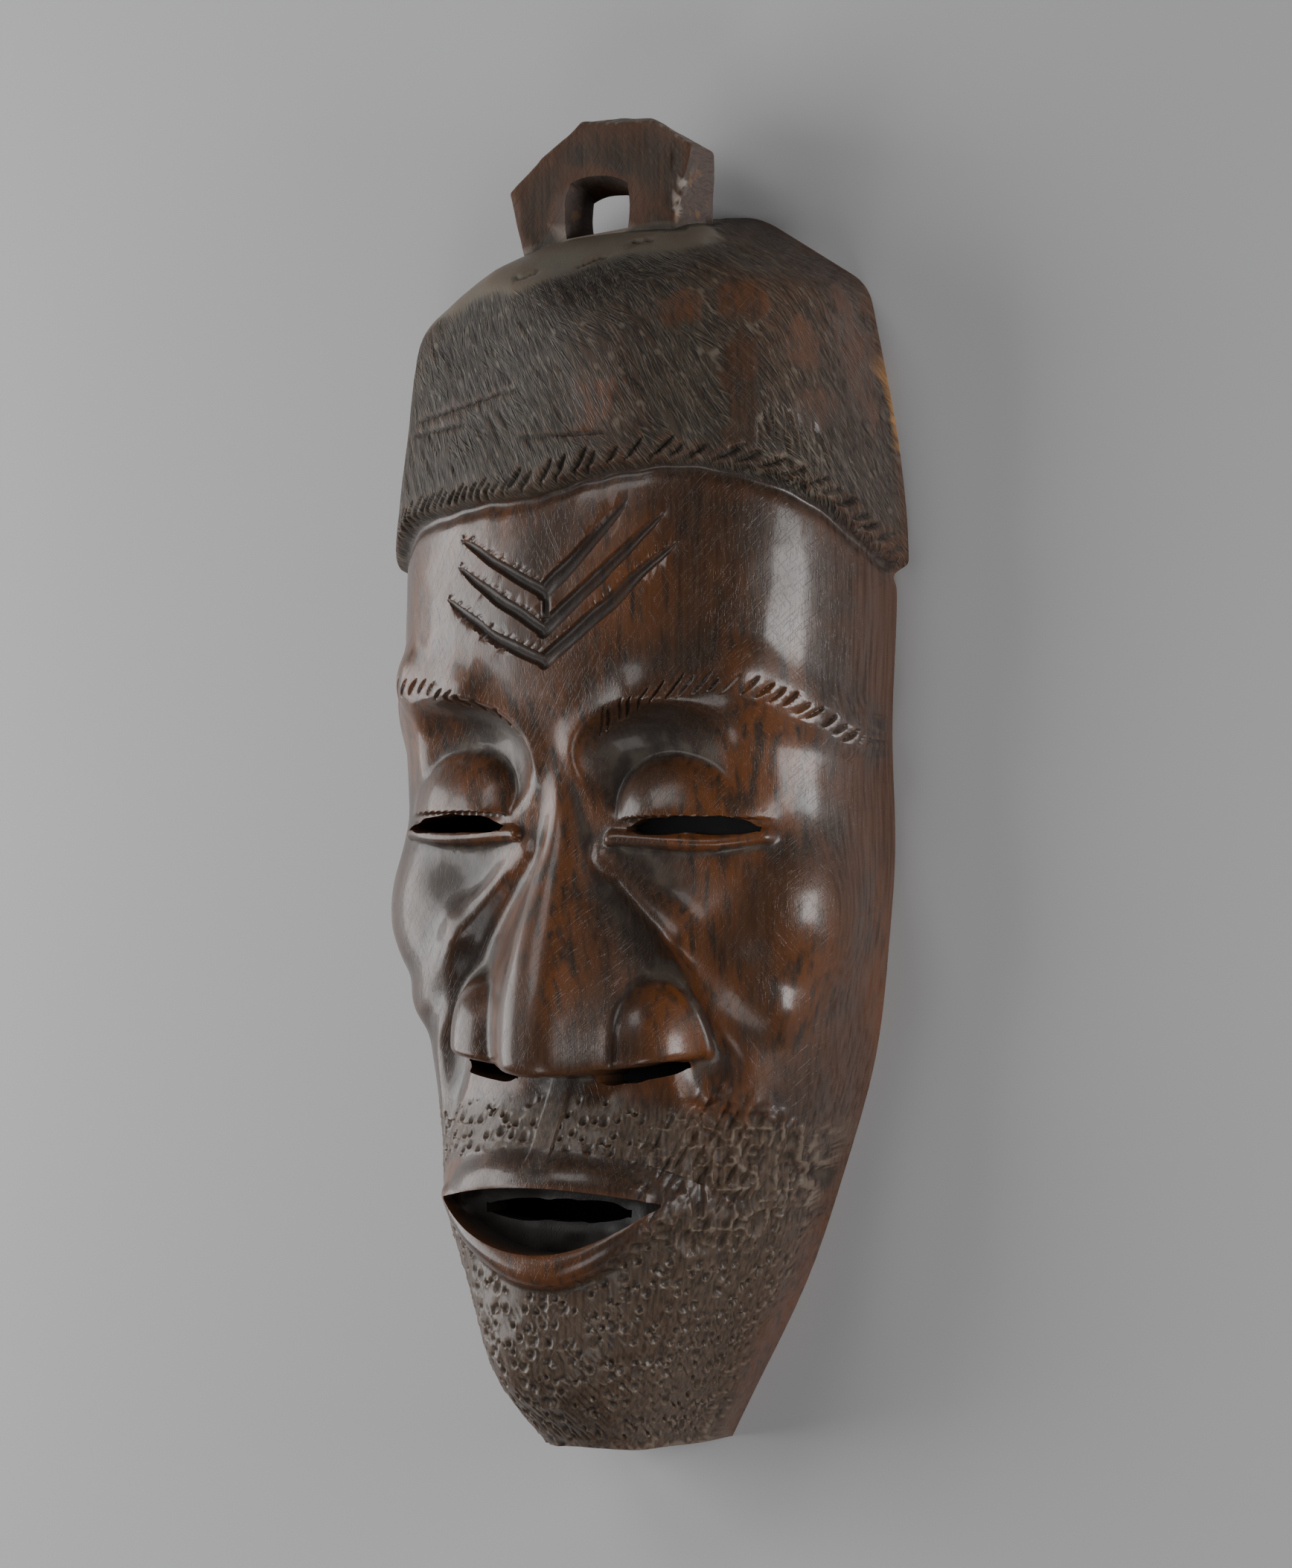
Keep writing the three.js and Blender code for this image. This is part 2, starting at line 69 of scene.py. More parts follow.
class Curve:
    """A smooth curve through stations of (position, value)."""

    def __init__(self, *stations: tuple[float, float]) -> None:
        """Sort the stations and work out the slope at each.

        Args:
            stations: pairs of position and value.
        """
        table = np.array(sorted(stations), float)
        self.position = table[:, 0]
        self.value = table[:, 1]
        between = np.diff(self.value) / np.diff(self.position)
        self.slope = np.concatenate(([between[0]], (between[:-1] + between[1:]) / 2, [between[-1]]))

    def __call__(self, at: Array) -> Array:
        """Read the curve.

        Args:
            at: positions, held within the stations.

        Returns:
            The values there.
        """
        at = np.clip(at, self.position[0], self.position[-1])
        i = np.clip(np.searchsorted(self.position, at) - 1, 0, len(self.position) - 2)
        span = self.position[i + 1] - self.position[i]
        t = (at - self.position[i]) / span
        rise = t * t * (3 - 2 * t)
        return (self.value[i] * (1 - rise) + self.value[i + 1] * rise
                + span * t * (1 - t) * ((1 - t) * self.slope[i] - t * self.slope[i + 1]))


def soft_min(a: Array, b: Array, width: float) -> Array:
    """Join two distances with a rounded corner of the given width."""
    overlap = np.maximum(width - np.abs(a - b), 0) / width
    return np.minimum(a, b) - overlap * overlap * width / 4


def soft_max(a: Array, b: Array, width: float) -> Array:
    """Cut one distance by another with a rounded corner of the given width."""
    return -soft_min(-a, -b, width)


def ramp(value: Array, start: float, end: float) -> Array:
    """Rise smoothly from 0 at start to 1 at end."""
    t = np.clip((value - start) / (end - start), 0, 1)
    return t * t * (3 - 2 * t)


@dataclass(frozen=True)
class Pillow:
    """An egg-shaped form, or with a higher power one blown out towards its corners."""

    centre: Point
    radii: Point
    power: float = 2.0

    def distance(self, p: Array) -> Array:
        """Roughly how far each point is outside the form.

        Args:
            p: points.

        Returns:
            One distance a point.
        """
        q = np.abs(p - np.array(self.centre)) / np.array(self.radii)
        near = np.maximum(np.sum(q**self.power, axis=1), 1e-9)**(1 / self.power)
        slope = q**(self.power - 1) / np.array(self.radii) * near[:, None]**(1 - self.power)
        return (near - 1) / np.maximum(np.linalg.norm(slope, axis=1), 1 / 60)


@dataclass(frozen=True)
class Chain:
    """A row of balls joined by cones: each link is a place and a radius."""

    links: tuple[tuple[Point, float], ...]
    blend: float

    def distance(self, p: Array) -> Array:
        """How far each point is outside the chain.

        Args:
            p: points.

        Returns:
            One distance a point.
        """
        result = None
        for (a, start), (b, end) in itertools.pairwise(self.links):
            a, along = np.array(a), np.array(b) - np.array(a)
            t = np.clip((p - a) @ along / (along @ along), 0, 1)
            cone = np.linalg.norm(p - a - t[:, None] * along, axis=1) - start - (end - start) * t
            result = cone if result is None else soft_min(result, cone, self.blend)
        return result


def both_sides(form: Pillow | Chain, p: Array, width: float) -> Array:
    """The right-hand form and its twin on the left.

    Args:
        form: the right-hand form.
        p: points.
        width: how softly the two meet.

    Returns:
        The distance to the nearer of the two.
    """
    return soft_min(form.distance(p), form.distance(p * MIRROR), width)


def bearing(p: Array) -> Array:
    """How far each point is turned around the head from its middle line."""
    return np.arctan2(p[:, 0], np.maximum(p[:, 2], 0.5))


def around(p: Array) -> Array:
    """The same as a length over the skin."""
    return HEAD_RADIUS * bearing(p)


def oval(x: Array, y: Array, spot: Spot) -> Array:
    """How far out places lie in an oval, with 1 on its edge.

    Args:
        x: places across.
        y: places up.
        spot: the oval's middle across and up, half its width and half its height.

    Returns:
        One number a place.
    """
    return np.hypot((x - spot[0]) / spot[2], (y - spot[1]) / spot[3])


def scatter(cells: Array, seed: int) -> Array:
    """A fixed number from 0 to 1 for each whole-numbered cell.

    Args:
        cells: rows of three whole numbers.
        seed: which set of numbers.

    Returns:
        One number a row.
    """
    n = cells[:, 0] * 374761393 + cells[:, 1] * 668265263 + cells[:, 2] * 1442695041 + seed * 974634533
    n = (n ^ (n >> 13)) * 1274126177
    return ((n ^ (n >> 16)) & 0xFFFF) / 65535.0


def clouds(p: Array, size: float, seed: int) -> Array:
    """Soft noise from -1 to 1 with lumps of about the given size in millimetres.

    Args:
        p: points.
        size: the lumps' size.
        seed: which noise.

    Returns:
        One number a point.
    """
    cell = np.floor(p / size).astype(np.int64)
    part = p / size - cell
    part = part * part * (3 - 2 * part)
    total = np.zeros(len(p))
    for corner in itertools.product((0, 1), repeat=3):
        weight = np.prod(np.where(np.array(corner) == 1, part, 1 - part), axis=1)
        total += weight * scatter(cell + np.array(corner), seed)
    return total * 2 - 1


# The carved form


@dataclass(frozen=True)
class Head:
    """The long rounded block that everything is carved on."""

    crown_start: float = 100.0
    crown_y: float = 182.0
    crown_fall: float = 0.06
    crown_power: float = 5.0
    chin_y: float = -210.0
    taper_from: float = -13.0
    broad: float = 83.5
    taper: float = 0.72
    front_depth: Curve = Curve((176, 73), (110, 71), (60, 75), (30, 74), (5, 66), (-25, 62), (-60, 62),
                               (-91, 66), (-131, 73), (-165, 76.5), (-190, 72), (-210, 53))
    squareness: Curve = Curve((176, 2.4), (30, 2.4), (-40, 2.8), (-110, 2.55), (-210, 2.8))

    def half_width(self, y: Array) -> Array:
        """Half the width at each height: full above the eyes, then a parabola to the chin."""
        run = np.clip((self.taper_from - y) / (self.taper_from - self.chin_y), 0, 1)
        return self.broad * (1 - self.taper * run * run)

    def distance(self, p: Array) -> Array:
        """Roughly how far each point is outside the head.

        Args:
            p: points.

        Returns:
            One distance a point.
        """
        width = self.half_width(p[:, 1])
        depth = self.front_depth(p[:, 1])
        power = self.squareness(p[:, 1])
        side, front = np.abs(p[:, 0]), np.maximum(p[:, 2], 0)
        crown_height = self.crown_y - self.crown_fall * front - self.crown_start
        crown = np.maximum(0, p[:, 1] - self.crown_start) / crown_height
        total = (side / width)**power + (front / depth)**power + crown**self.crown_power
        total = np.maximum(total, 1e-9)
        near = total**(1 / power)
        rate = total**(1 / power - 1)
        slope = np.sqrt((rate * side**(power - 1) / width**power)**2
                        + (rate * front**(power - 1) / depth**power)**2
                        + (rate * self.crown_power / power * crown**(self.crown_power - 1)
                           / crown_height)**2)
        return (near - 1) / np.maximum(slope, 1 / 90)


@dataclass(frozen=True)
class Facet:
    """A flat cut: the way it faces, in degrees to the right and up, and how far out it lies."""

    right: float
    up: float
    out: float

    def distance(self, p: Array) -> Array:
        """How far each point lies outside the cut.

        Args:
            p: points.

        Returns:
            One distance a point.
        """
        right, up = math.radians(self.right), math.radians(self.up)
        level = math.cos(up)
        return p @ np.array((math.sin(right) * level, math.sin(up), math.cos(right) * level)) - self.out


@dataclass(frozen=True)
class Cap:
    """The close cap: the head grown outwards above a wavy rim, with flat cuts on the crown."""

    thickness: float = 3.0
    rim_thickness: float = 4.6
    rim: Curve = Curve((-90, 62), (-65, 68), (-56, 74), (-41, 82.5), (-23, 86.5), (0, 90), (22, 97),
                       (49, 95), (64, 86), (78, 74), (90, 65))
    rim_slope: float = 0.55
    facets: tuple[Facet, ...] = (Facet(-59, 81.7, 174.4), Facet(4, 48, 158.5), Facet(-58, 61, 168.7),
                                 Facet(-58, 45, 157.5), Facet(-58, 8.5, 100.5), Facet(75, 59, 170.6),
                                 Facet(80, 12.4, 104.4), Facet(-20, 12, 97.2), Facet(30, 8, 96.2))

    def above_rim(self, p: Array) -> Array:
        """How far each point lies above the rim, which wavers a little.

        Args:
            p: points.

        Returns:
            One height a point.
        """
        angle = np.degrees(bearing(p))
        wavering = 0.4 * np.sin(angle * 0.23) + 0.18 * np.sin(angle * 0.67 + 1)
        return p[:, 1] - self.rim(angle) - wavering

    def distance(self, p: Array, head: Array) -> Array:
        """Roughly how far each point is outside the cap.

        Args:
            p: points.
            head: how far each is outside the head.

        Returns:
            One distance a point.
        """
        above = self.above_rim(p)
        swell = (self.rim_thickness - self.thickness) * (1 - ramp(above, 0, 60))
        form = head - self.thickness - swell
        under_rim = (self.rim_slope * head - above) / math.hypot(1, self.rim_slope)
        return soft_max(form, under_rim, 1.2)

    def along_rim(self, p: Array) -> tuple[Array, Array]:
        """How far along the rim, and how far square off it, each point lies.

        Args:
            p: points.

        Returns:
            The two lengths, one of each a point.
        """
        turns = np.arange(-90.0, 91.0)
        degree = math.radians(HEAD_RADIUS)
        heights = self.rim(turns)
        slopes = np.gradient(heights, degree)
        lengths = np.concatenate(([0], np.cumsum(np.hypot(degree, np.diff(heights)))))
        angle = np.degrees(bearing(p))
        slope = np.interp(angle, turns, slopes)
        lean = 1 / np.hypot(1, slope)
        above = p[:, 1] - self.rim(angle)
        return np.interp(angle, turns, lengths) + above * slope * lean, above * lean


@dataclass(frozen=True)
class Eyes:
    """Heavy lids over slit eyes, in sockets under the brow.

    The middle of each eye is a quarter of the face's width from its middle line.
    """

    y: float = -13.0
    middle: float = 42.0
    half: float = 23.0
    brow: Chain = Chain((((11, 12, 61), 7), ((32, 25, 63), 9), ((56, 31, 53), 9), ((78, 14, 20), 6)), 5)
    socket: Pillow = Pillow((44, 3, 77.5), (38, 22.5, 24), 2.3)
    basin: Pillow = Pillow((43, -30, 80), (28, 14, 22))
    lid: Pillow = Pillow((42, -18, 26), (33, 36, 38.5), 2.3)
    sweep: float = 0.25

    def slit_y(self, x: Array) -> Array:
        """The height of the slit across the face."""
        return self.y - ((np.abs(x) - self.middle) / 30)**2 * 2.5

    def lids(self, p: Array) -> Array:
        """Distance to both lids, which end square over the slit."""
        swept = p + np.outer(self.sweep * (np.abs(p[:, 0]) - self.middle), (0, 0, 1))
        return soft_max(both_sides(self.lid, swept, 1), self.slit_y(p[:, 0]) + 2.6 - p[:, 1], 1.2)

    def lower_lids(self, p: Array, skin: Array) -> Array:
        """Distance to the thin rolls under the slits.

        Args:
            p: points.
            skin: how far each is from the skin.

        Returns:
            One distance a point.
        """
        x = np.abs(p[:, 0])
        past = np.maximum(np.abs(x - self.middle) - self.half - 1, 0)
        bowed = 3.0 * (np.clip((x - self.middle) / self.half, -1, 1))**2
        off = p[:, 1] - self.slit_y(p[:, 0]) + 5.6 - bowed
        return np.sqrt(off * off + (skin - 0.2)**2 + past * past) - 2.3


@dataclass(frozen=True)
class Nose:
    """A straight nose with a flat ridge, and a mound on each side for its wings."""

    ridge: Curve = Curve((24, 68), (2, 66), (-14, 68), (-74, 89.5), (-88, 90), (-98, 85))
    flat: Curve = Curve((24, 6), (0, 3.5), (-20, 3.5), (-60, 6.5), (-95, 8))
    slope: Curve = Curve((0, 0.6), (-30, 0.88), (-60, 0.92), (-95, 0.82))
    wing: Pillow = Pillow((28, -85, 46), (18.5, 27, 28), 2.3)
    reach: float = 36.0

    def base_y(self, x: Array) -> Array:
        """The height of the nose's underside across the face."""
        return -91 + 0.003 * x * x

    def distance(self, p: Array) -> Array:
        """Distance to the nose and its wings.

        Args:
            p: points.

        Returns:
            One distance a point.
        """
        x, y, z = p.T
        ridge, slope = self.ridge(y), self.slope(y)
        side = (np.sqrt(x * x + 4) - self.flat(y) - slope * (ridge - z)) / np.sqrt(1 + slope * slope)
        bar = soft_max(soft_max(z - ridge, side, 4.0), np.abs(x) - self.reach, 2.0)
        bar = soft_max(bar, y - 18, 10.0)
        both = soft_min(bar, both_sides(self.wing, p, 1), 1.6)
        return soft_max(both, self.base_y(x) - y, 2.2)


@dataclass(frozen=True)
class Mouth:
    """Two rolled lips, parted over a pocket, with their corners under the middles of the eyes."""

    half: float = 42.0
    y: float = -131.0
    muzzle: Pillow = Pillow((0, -128, 36), (50, 36, 40))

    def arch(self, x: Array) -> Array:
        """How far the lips stand open across the mouth, 1 in the middle and 0 at the corners."""
        return np.clip(1 - (x / self.half)**2, 0, 1)

    def lips(self, p: Array, skin: Array) -> tuple[Array, Array]:
        """Distances to the lower and upper lip.

        Args:
            p: points.
            skin: how far each is from the skin that the lips lie on.

        Returns:
            The two, one of each a point.
        """
        x, y = p[:, 0], p[:, 1]
        arch = self.arch(x)
        past = np.maximum(np.abs(x) - self.half, 0)
        lower = np.sqrt((y - self.y + 20 * arch)**2 + (skin - 0.3)**2 + past**2)
        bow = 1.6 * np.exp(-(x / 5)**2)
        upper = np.sqrt(((y - self.y - 7.5 * arch + bow) / 1.6)**2 + skin**2 + past**2)
        return lower - 2.6 - 3.9 * np.sqrt(arch), upper - 2.2 - 2.0 * arch


@dataclass(frozen=True)
class Carving:
    """The whole carved form of the mask's outside, without its cuts.

    A crest runs from under the inner corner of each eye straight down across the cheek, and a hollow
    runs under it from beside the nose to beside the corner of the mouth.
    """

    head: Head = Head()
    cap: Cap = Cap()
    eyes: Eyes = Eyes()
    nose: Nose = Nose()
    mouth: Mouth = Mouth()
    cheekbone: Pillow = Pillow((54, -42, 31.5), (27, 26, 23))
    crest: Chain = Chain((((14, -24, 61), 2.5), ((40, -49, 57), 5), ((62, -71, 40.5), 8)), 5)
    hollow: Chain = Chain((((18, -34, 68), 5.5), ((36, -62, 68), 10.5), ((52, -90, 63.5), 12.5),
                           ((58, -124, 61), 9.5)), 4)

    def lean(self, p: Array) -> Array:
        """Shift points a little, as a face carved by hand and eye isn't ruled."""
        x, y = p[:, 0], p[:, 1]
        return np.column_stack((x + 0.9 * np.sin(y * 0.031 + 1.3) + 0.4 * np.sin(y * 0.09),
                                y + 0.8 * np.sin(x * 0.045 + 0.4) + 0.35 * np.sin(x * 0.13 + 1),
                                p[:, 2]))

    def distance(self, p: Array) -> Array:
        """Roughly how far each point is outside the carved form.

        Args:
            p: points.

        Returns:
            One distance a point.
        """
        q = self.lean(p)
        skin = soft_min(self.head.distance(q), self.mouth.muzzle.distance(q), 14)
        form = soft_min(skin, both_sides(self.cheekbone, q, 2), 14)
        form = soft_min(form, both_sides(self.eyes.brow, q, 6), 9)
        form = soft_max(form, -both_sides(self.eyes.socket, q, 1), 2.5)
        form = soft_max(form, -both_sides(self.eyes.basin, q, 1), 8)
        form = soft_min(form, both_sides(self.crest, q, 1), 7)
        form = soft_max(form, -both_sides(self.hollow, q, 1), 2.5)
        form = soft_min(form, self.eyes.lower_lids(q, form), 1.5)
        form = soft_min(form, self.eyes.lids(q), 1.2)
        form = soft_min(form, self.nose.distance(q), 2.5)
        lower, upper = self.mouth.lips(q, skin)
        form = soft_min(soft_min(form, lower, 2.0), upper, 4.0)
        above = self.cap.above_rim(p)
        form = form + 1.2 * np.exp(-((above + 1.5) / 2.5)**2)
        form = soft_min(form, self.cap.distance(p, self.head.distance(p)), 1.0)
        for facet in self.cap.facets:
            form = soft_max(form, facet.distance(p), 5.0)
        return form

    def normals(self, p: Array, step: float = 0.05) -> tuple[Array, Array]:
        """The form's distance and outward slope at points.

        Args:
            p: points.
            step: how far to look along each axis.

        Returns:
            The distances, and a vector for each point.
        """
        here = self.distance(p)
        slope = [(self.distance(p + step * axis) - here) / step for axis in np.eye(3)]
        return here, np.column_stack(slope)


# Rays that fan out from a spine inside the head


@dataclass(frozen=True)
class Fan:
    """Rays through the points of a square, whose four sides fall on the plane of the back rim."""

    spine_half: float = 150.0
    spine_middle: float = -17.0
    spread: Point = (84.0, 42.0, 84.0)
    droop: float = 26.0
    far: float = 120.0
    stride: float = 20.0
    halvings: int = 7

    def rays(self, flat: Array) -> tuple[Array, Array]:
        """Start and direction of the ray through each point of the square.

        Args:
            flat: places on the square.

        Returns:
            The starts, and the directions with a length of 1.
        """
        u, v = flat[:, 0], flat[:, 1]
        x = u * np.sqrt(1 - v * v / 2)
        y = v * np.sqrt(1 - u * u / 2)
        z = np.sqrt(np.maximum(0, 1 - x * x - y * y))
        start = np.column_stack((0 * x, self.spine_middle + self.spine_half * y, 0 * x))
        way = np.column_stack((self.spread[0] * x, self.spread[1] * y - self.droop * (1 - y * y),
                               self.spread[2] * z))
        return start, way / np.linalg.norm(way, axis=1)[:, None]

    def cast(self, form: Distance, flat: Array, step: float = 1.5) -> Array:
        """Find where each ray leaves a form for good.

        Each ray is walked inwards, half of the distance to the form at a time, and the crossing is
        then halved down.

        Args:
            form: the form's distance.
            flat: places on the square.
            step: the shortest stride.

        Returns:
            The points.
        """
        start, way = self.rays(flat)
        near = np.zeros(len(flat))
        out = np.full(len(flat), self.far)
        reach = out.copy()
        walking = np.arange(len(flat))
        while len(walking):
            distance = form(start[walking] + way[walking] * reach[walking, None])
            inside = distance < 0
            near[walking[inside]] = reach[walking[inside]]
            walking, distance = walking[~inside], distance[~inside]
            out[walking] = reach[walking]
            reach[walking] -= np.clip(0.5 * distance, step, self.stride)
            walking = walking[reach[walking] > 0]
        for _ in range(self.halvings):
            middle = (near + out) / 2
            inside = form(start + way * middle[:, None]) < 0
            near = np.where(inside, middle, near)
            out = np.where(inside, out, middle)
        return start + way * ((near + out) / 2)[:, None]

    @staticmethod
    def on_rim(flat: Array) -> Array:
        """Which points of the square lie on its sides."""
        return np.max(np.abs(flat[:, :2]), axis=1) > 0.9999


# Hand work on meshes


class Join(Enum):
    """How one body meets another."""

    ADD = "UNION"
    CUT = "DIFFERENCE"


class Bench:
    """Hand tools for meshes: each leaves nothing selected that the next doesn't want."""

    @staticmethod
    def clear() -> None:
        """Deselect everything."""
        for thing in bpy.context.selected_objects:
            thing.select_set(False)

    @staticmethod
    def take(name: str) -> bpy.types.Object:
        """Name the object just added and its mesh.

        Args:
            name: the name.

        Returns:
            The object.
        """
        thing = bpy.context.object
        thing.name = name
        thing.data.name = name
        return thing

    @staticmethod
    def hold(thing: bpy.types.Object) -> None:
        """Make one object the only one selected.

        Args:
            thing: the object.
        """
        Bench.clear()
        thing.select_set(True)
        bpy.context.view_layer.objects.active = thing

    @staticmethod
    @contextmanager
    def editing(thing: bpy.types.Object, chosen: str = "SELECT") -> Iterator[None]:
        """Open one mesh in edit mode, with all or nothing chosen in it, and close it after.

        Args:
            thing: the mesh.
            chosen: SELECT for all, DESELECT for nothing.

        Returns:
            A context for a with statement.
        """
        Bench.hold(thing)
        bpy.ops.object.mode_set(mode="EDIT")
        bpy.ops.mesh.select_all(action=chosen)
        yield
        bpy.ops.object.mode_set(mode="OBJECT")

    @staticmethod
    def face_outwards() -> None:
        """Turn all faces of the mesh in edit mode outwards."""
        bpy.ops.mesh.select_all(action="SELECT")
        bpy.ops.mesh.normals_make_consistent(inside=False)

    @staticmethod
    def push(x: float, y: float, z: float) -> None:
        """Extrude what is chosen by millimetres."""
        bpy.ops.mesh.extrude_region_move(TRANSFORM_OT_translate={"value": (MM * x, MM * y, MM * z)})

    @staticmethod
    def grid(name: str, columns: int, rows: int) -> bpy.types.Object:
        """Add a flat grid from -1 to 1 both ways.

        Args:
            name: its name.
            columns: faces across.
            rows: faces up.

        Returns:
            The grid.
        """
        Bench.clear()
        bpy.ops.mesh.primitive_grid_add(x_subdivisions=columns, y_subdivisions=rows, size=2)
        return Bench.take(name)

    @staticmethod
    def places(thing: bpy.types.Object) -> Array:
        """Read all vertex places.

        Args:
            thing: the mesh.

        Returns:
            One row a point, in metres.
        """
        flat = np.empty(len(thing.data.vertices) * 3)
        thing.data.vertices.foreach_get("co", flat)
        return flat.reshape(-1, 3)

    @staticmethod
    def place(thing: bpy.types.Object, millimetres: Array) -> None:
        """Put all vertices at places given in millimetres."""
        thing.data.vertices.foreach_set("co", (millimetres * MM).ravel())
        thing.data.update()

    @staticmethod
    def close_back(thing: bpy.types.Object) -> None:
        """Fill a sheet's open edge with one flat face and turn all faces outwards.

        Args:
            thing: the sheet.
        """
        with Bench.editing(thing, "DESELECT"):
            bpy.ops.mesh.select_mode(type="EDGE")
            bpy.ops.mesh.select_non_manifold(extend=False)
            bpy.ops.mesh.edge_face_add()
            Bench.face_outwards()

    @staticmethod
    def refine(thing: bpy.types.Object, wanted: Array) -> None:
        """Halve the wanted faces of a grid both ways.

        Args:
            thing: the grid.
            wanted: one truth value a face.
        """
        with Bench.editing(thing, "DESELECT"):
            bpy.ops.mesh.select_mode(type="FACE")
        thing.data.polygons.foreach_set("select", wanted)
        bpy.ops.object.mode_set(mode="EDIT")
        bpy.ops.mesh.subdivide(number_cuts=1)
        bpy.ops.object.mode_set(mode="OBJECT")

    @staticmethod
    def block(name: str, columns: int, rows: int, floor: Callable[[Array, Array], Array],
              lift: Point) -> bpy.types.Object:
        """Make a closed block: a grid laid on its floor and extruded along one direction.

        Args:
            name: the object's name.
            columns: faces across.
            rows: faces up.
            floor: turns places on the square into places in millimetres.
            lift: the extrusion in millimetres.

        Returns:
            The block.
        """
        block = Bench.grid(name, columns, rows)
        flat = Bench.places(block)
        Bench.place(block, floor(flat[:, 0], flat[:, 1]))
        with Bench.editing(block):
            Bench.push(*lift)
            Bench.face_outwards()
        return block

    @staticmethod
    def join(thing: bpy.types.Object, tool: bpy.types.Object, how: Join) -> None:
        """Add one closed body to another or cut it out, and clear the tool away.

        Args:
            thing: the body that stays.
            tool: the other body.
            how: added or cut.
        """
        Bench.hold(thing)
        modifier = thing.modifiers.new("join", "BOOLEAN")
        modifier.operation = how.value
        modifier.solver = "MANIFOLD"
        modifier.object = tool
        before = len(thing.data.vertices)
        bpy.ops.object.modifier_apply(modifier="join")
        after = len(thing.data.vertices)
        log.info("%s %s: %d to %d points", how.name.lower(), tool.name, before, after)
        bpy.data.objects.remove(tool, do_unlink=True)

    @staticmethod
    def thin_out(thing: bpy.types.Object, most_points: int) -> None:
        """Merge points where the surface is plain until no more than the given number are left.

        Args:
            thing: the mesh.
            most_points: the number.
        """
        Bench.hold(thing)
        modifier = thing.modifiers.new("thin out", "DECIMATE")
        modifier.ratio = min(1.0, most_points / len(thing.data.vertices))
        bpy.ops.object.modifier_apply(modifier="thin out")
        log.info("thinned out to %d points", len(thing.data.vertices))

    @staticmethod
    def neighbours(thing: bpy.types.Object) -> tuple[Array, Array]:
        """Every edge both ways: from and to.

        Args:
            thing: the mesh.

        Returns:
            The numbers of the points at both ends.
        """
        flat = np.empty(len(thing.data.edges) * 2, np.int64)
        thing.data.edges.foreach_get("vertices", flat)
        pairs = flat.reshape(-1, 2)
        return np.concatenate((pairs[:, 0], pairs[:, 1])), np.concatenate((pairs[:, 1], pairs[:, 0]))

    @staticmethod
    def average(values: Array, start: Array, end: Array) -> Array:
        """The average of each point's neighbours.

        Args:
            values: rows of numbers, one row a point.
            start: the first end of every edge.
            end: the other end.

        Returns:
            One row a point.
        """
        count = np.maximum(np.bincount(start, minlength=len(values)), 1)
        sums = [np.bincount(start, weights=column[end], minlength=len(values)) for column in values.T]
        return np.column_stack(sums) / count[:, None]


# The engraving


def gouge(distance: Array, half: Array | float, depth: Array | float) -> Array:
    """The depth of a round-bottomed groove at a distance from its middle."""
    return depth * np.sqrt(np.clip(1 - (distance / half)**2, 0, 1))


def knife(distance: Array, half: Array | float, depth: Array | float) -> Array:
    """The depth of a V-shaped cut at a distance from its middle."""
    return depth * np.clip(1 - distance / half, 0, 1)


def unrolled(p: Array) -> Array:
    """The surface laid flat: how far around the head and how far up each point lies."""
    over_crown = ramp(p[:, 1], 90, 130) * np.maximum(76 - np.hypot(p[:, 0], p[:, 2]), 0)
    return np.column_stack((around(p), p[:, 1] + 0.9 * over_crown))


@dataclass(frozen=True)
class Notches:
    """A row of slanted knife cuts along a line."""

    period: float
    slant: float
    low: float
    high: float
    half: float
    depth: float
    seed: int

    def cut(self, along: Array, above: Array) -> Array:
        """How deep the cuts are.

        Args:
            along: places along the line.
            above: heights above it.

        Returns:
            The depth at each point.
        """
        tilt = math.tan(math.radians(self.slant))
        shifted = along - tilt * (above - self.low)
        index = np.floor(shifted / self.period).astype(np.int64)
        deepest = np.zeros(len(along))
        for step in (-1, 0, 1):
            cell = np.column_stack((index + step, 0 * index, 0 * index))
            middle = (index + step + 0.5 + 0.3 * (scatter(cell, self.seed) - 0.5)) * self.period
            twist = 0.25 * (scatter(cell, self.seed + 1) - 0.5) * (above - self.low)
            across = np.abs(shifted - middle + twist) * math.cos(math.radians(self.slant))
            top = self.high - (self.high - self.low) * 0.35 * scatter(cell, self.seed + 2)
            bottom = self.low + (self.high - self.low) * 0.12 * scatter(cell, self.seed + 3)
            run = np.clip((above - bottom) / (top - bottom), 0, 1)
            point = 4 * run * (1 - run)
            size = 0.7 + 0.5 * scatter(cell, self.seed + 4)
            deepest = np.maximum(deepest, knife(across, self.half * np.sqrt(point) + 1e-6,
                                                self.depth * size * np.sqrt(point)))
        return deepest


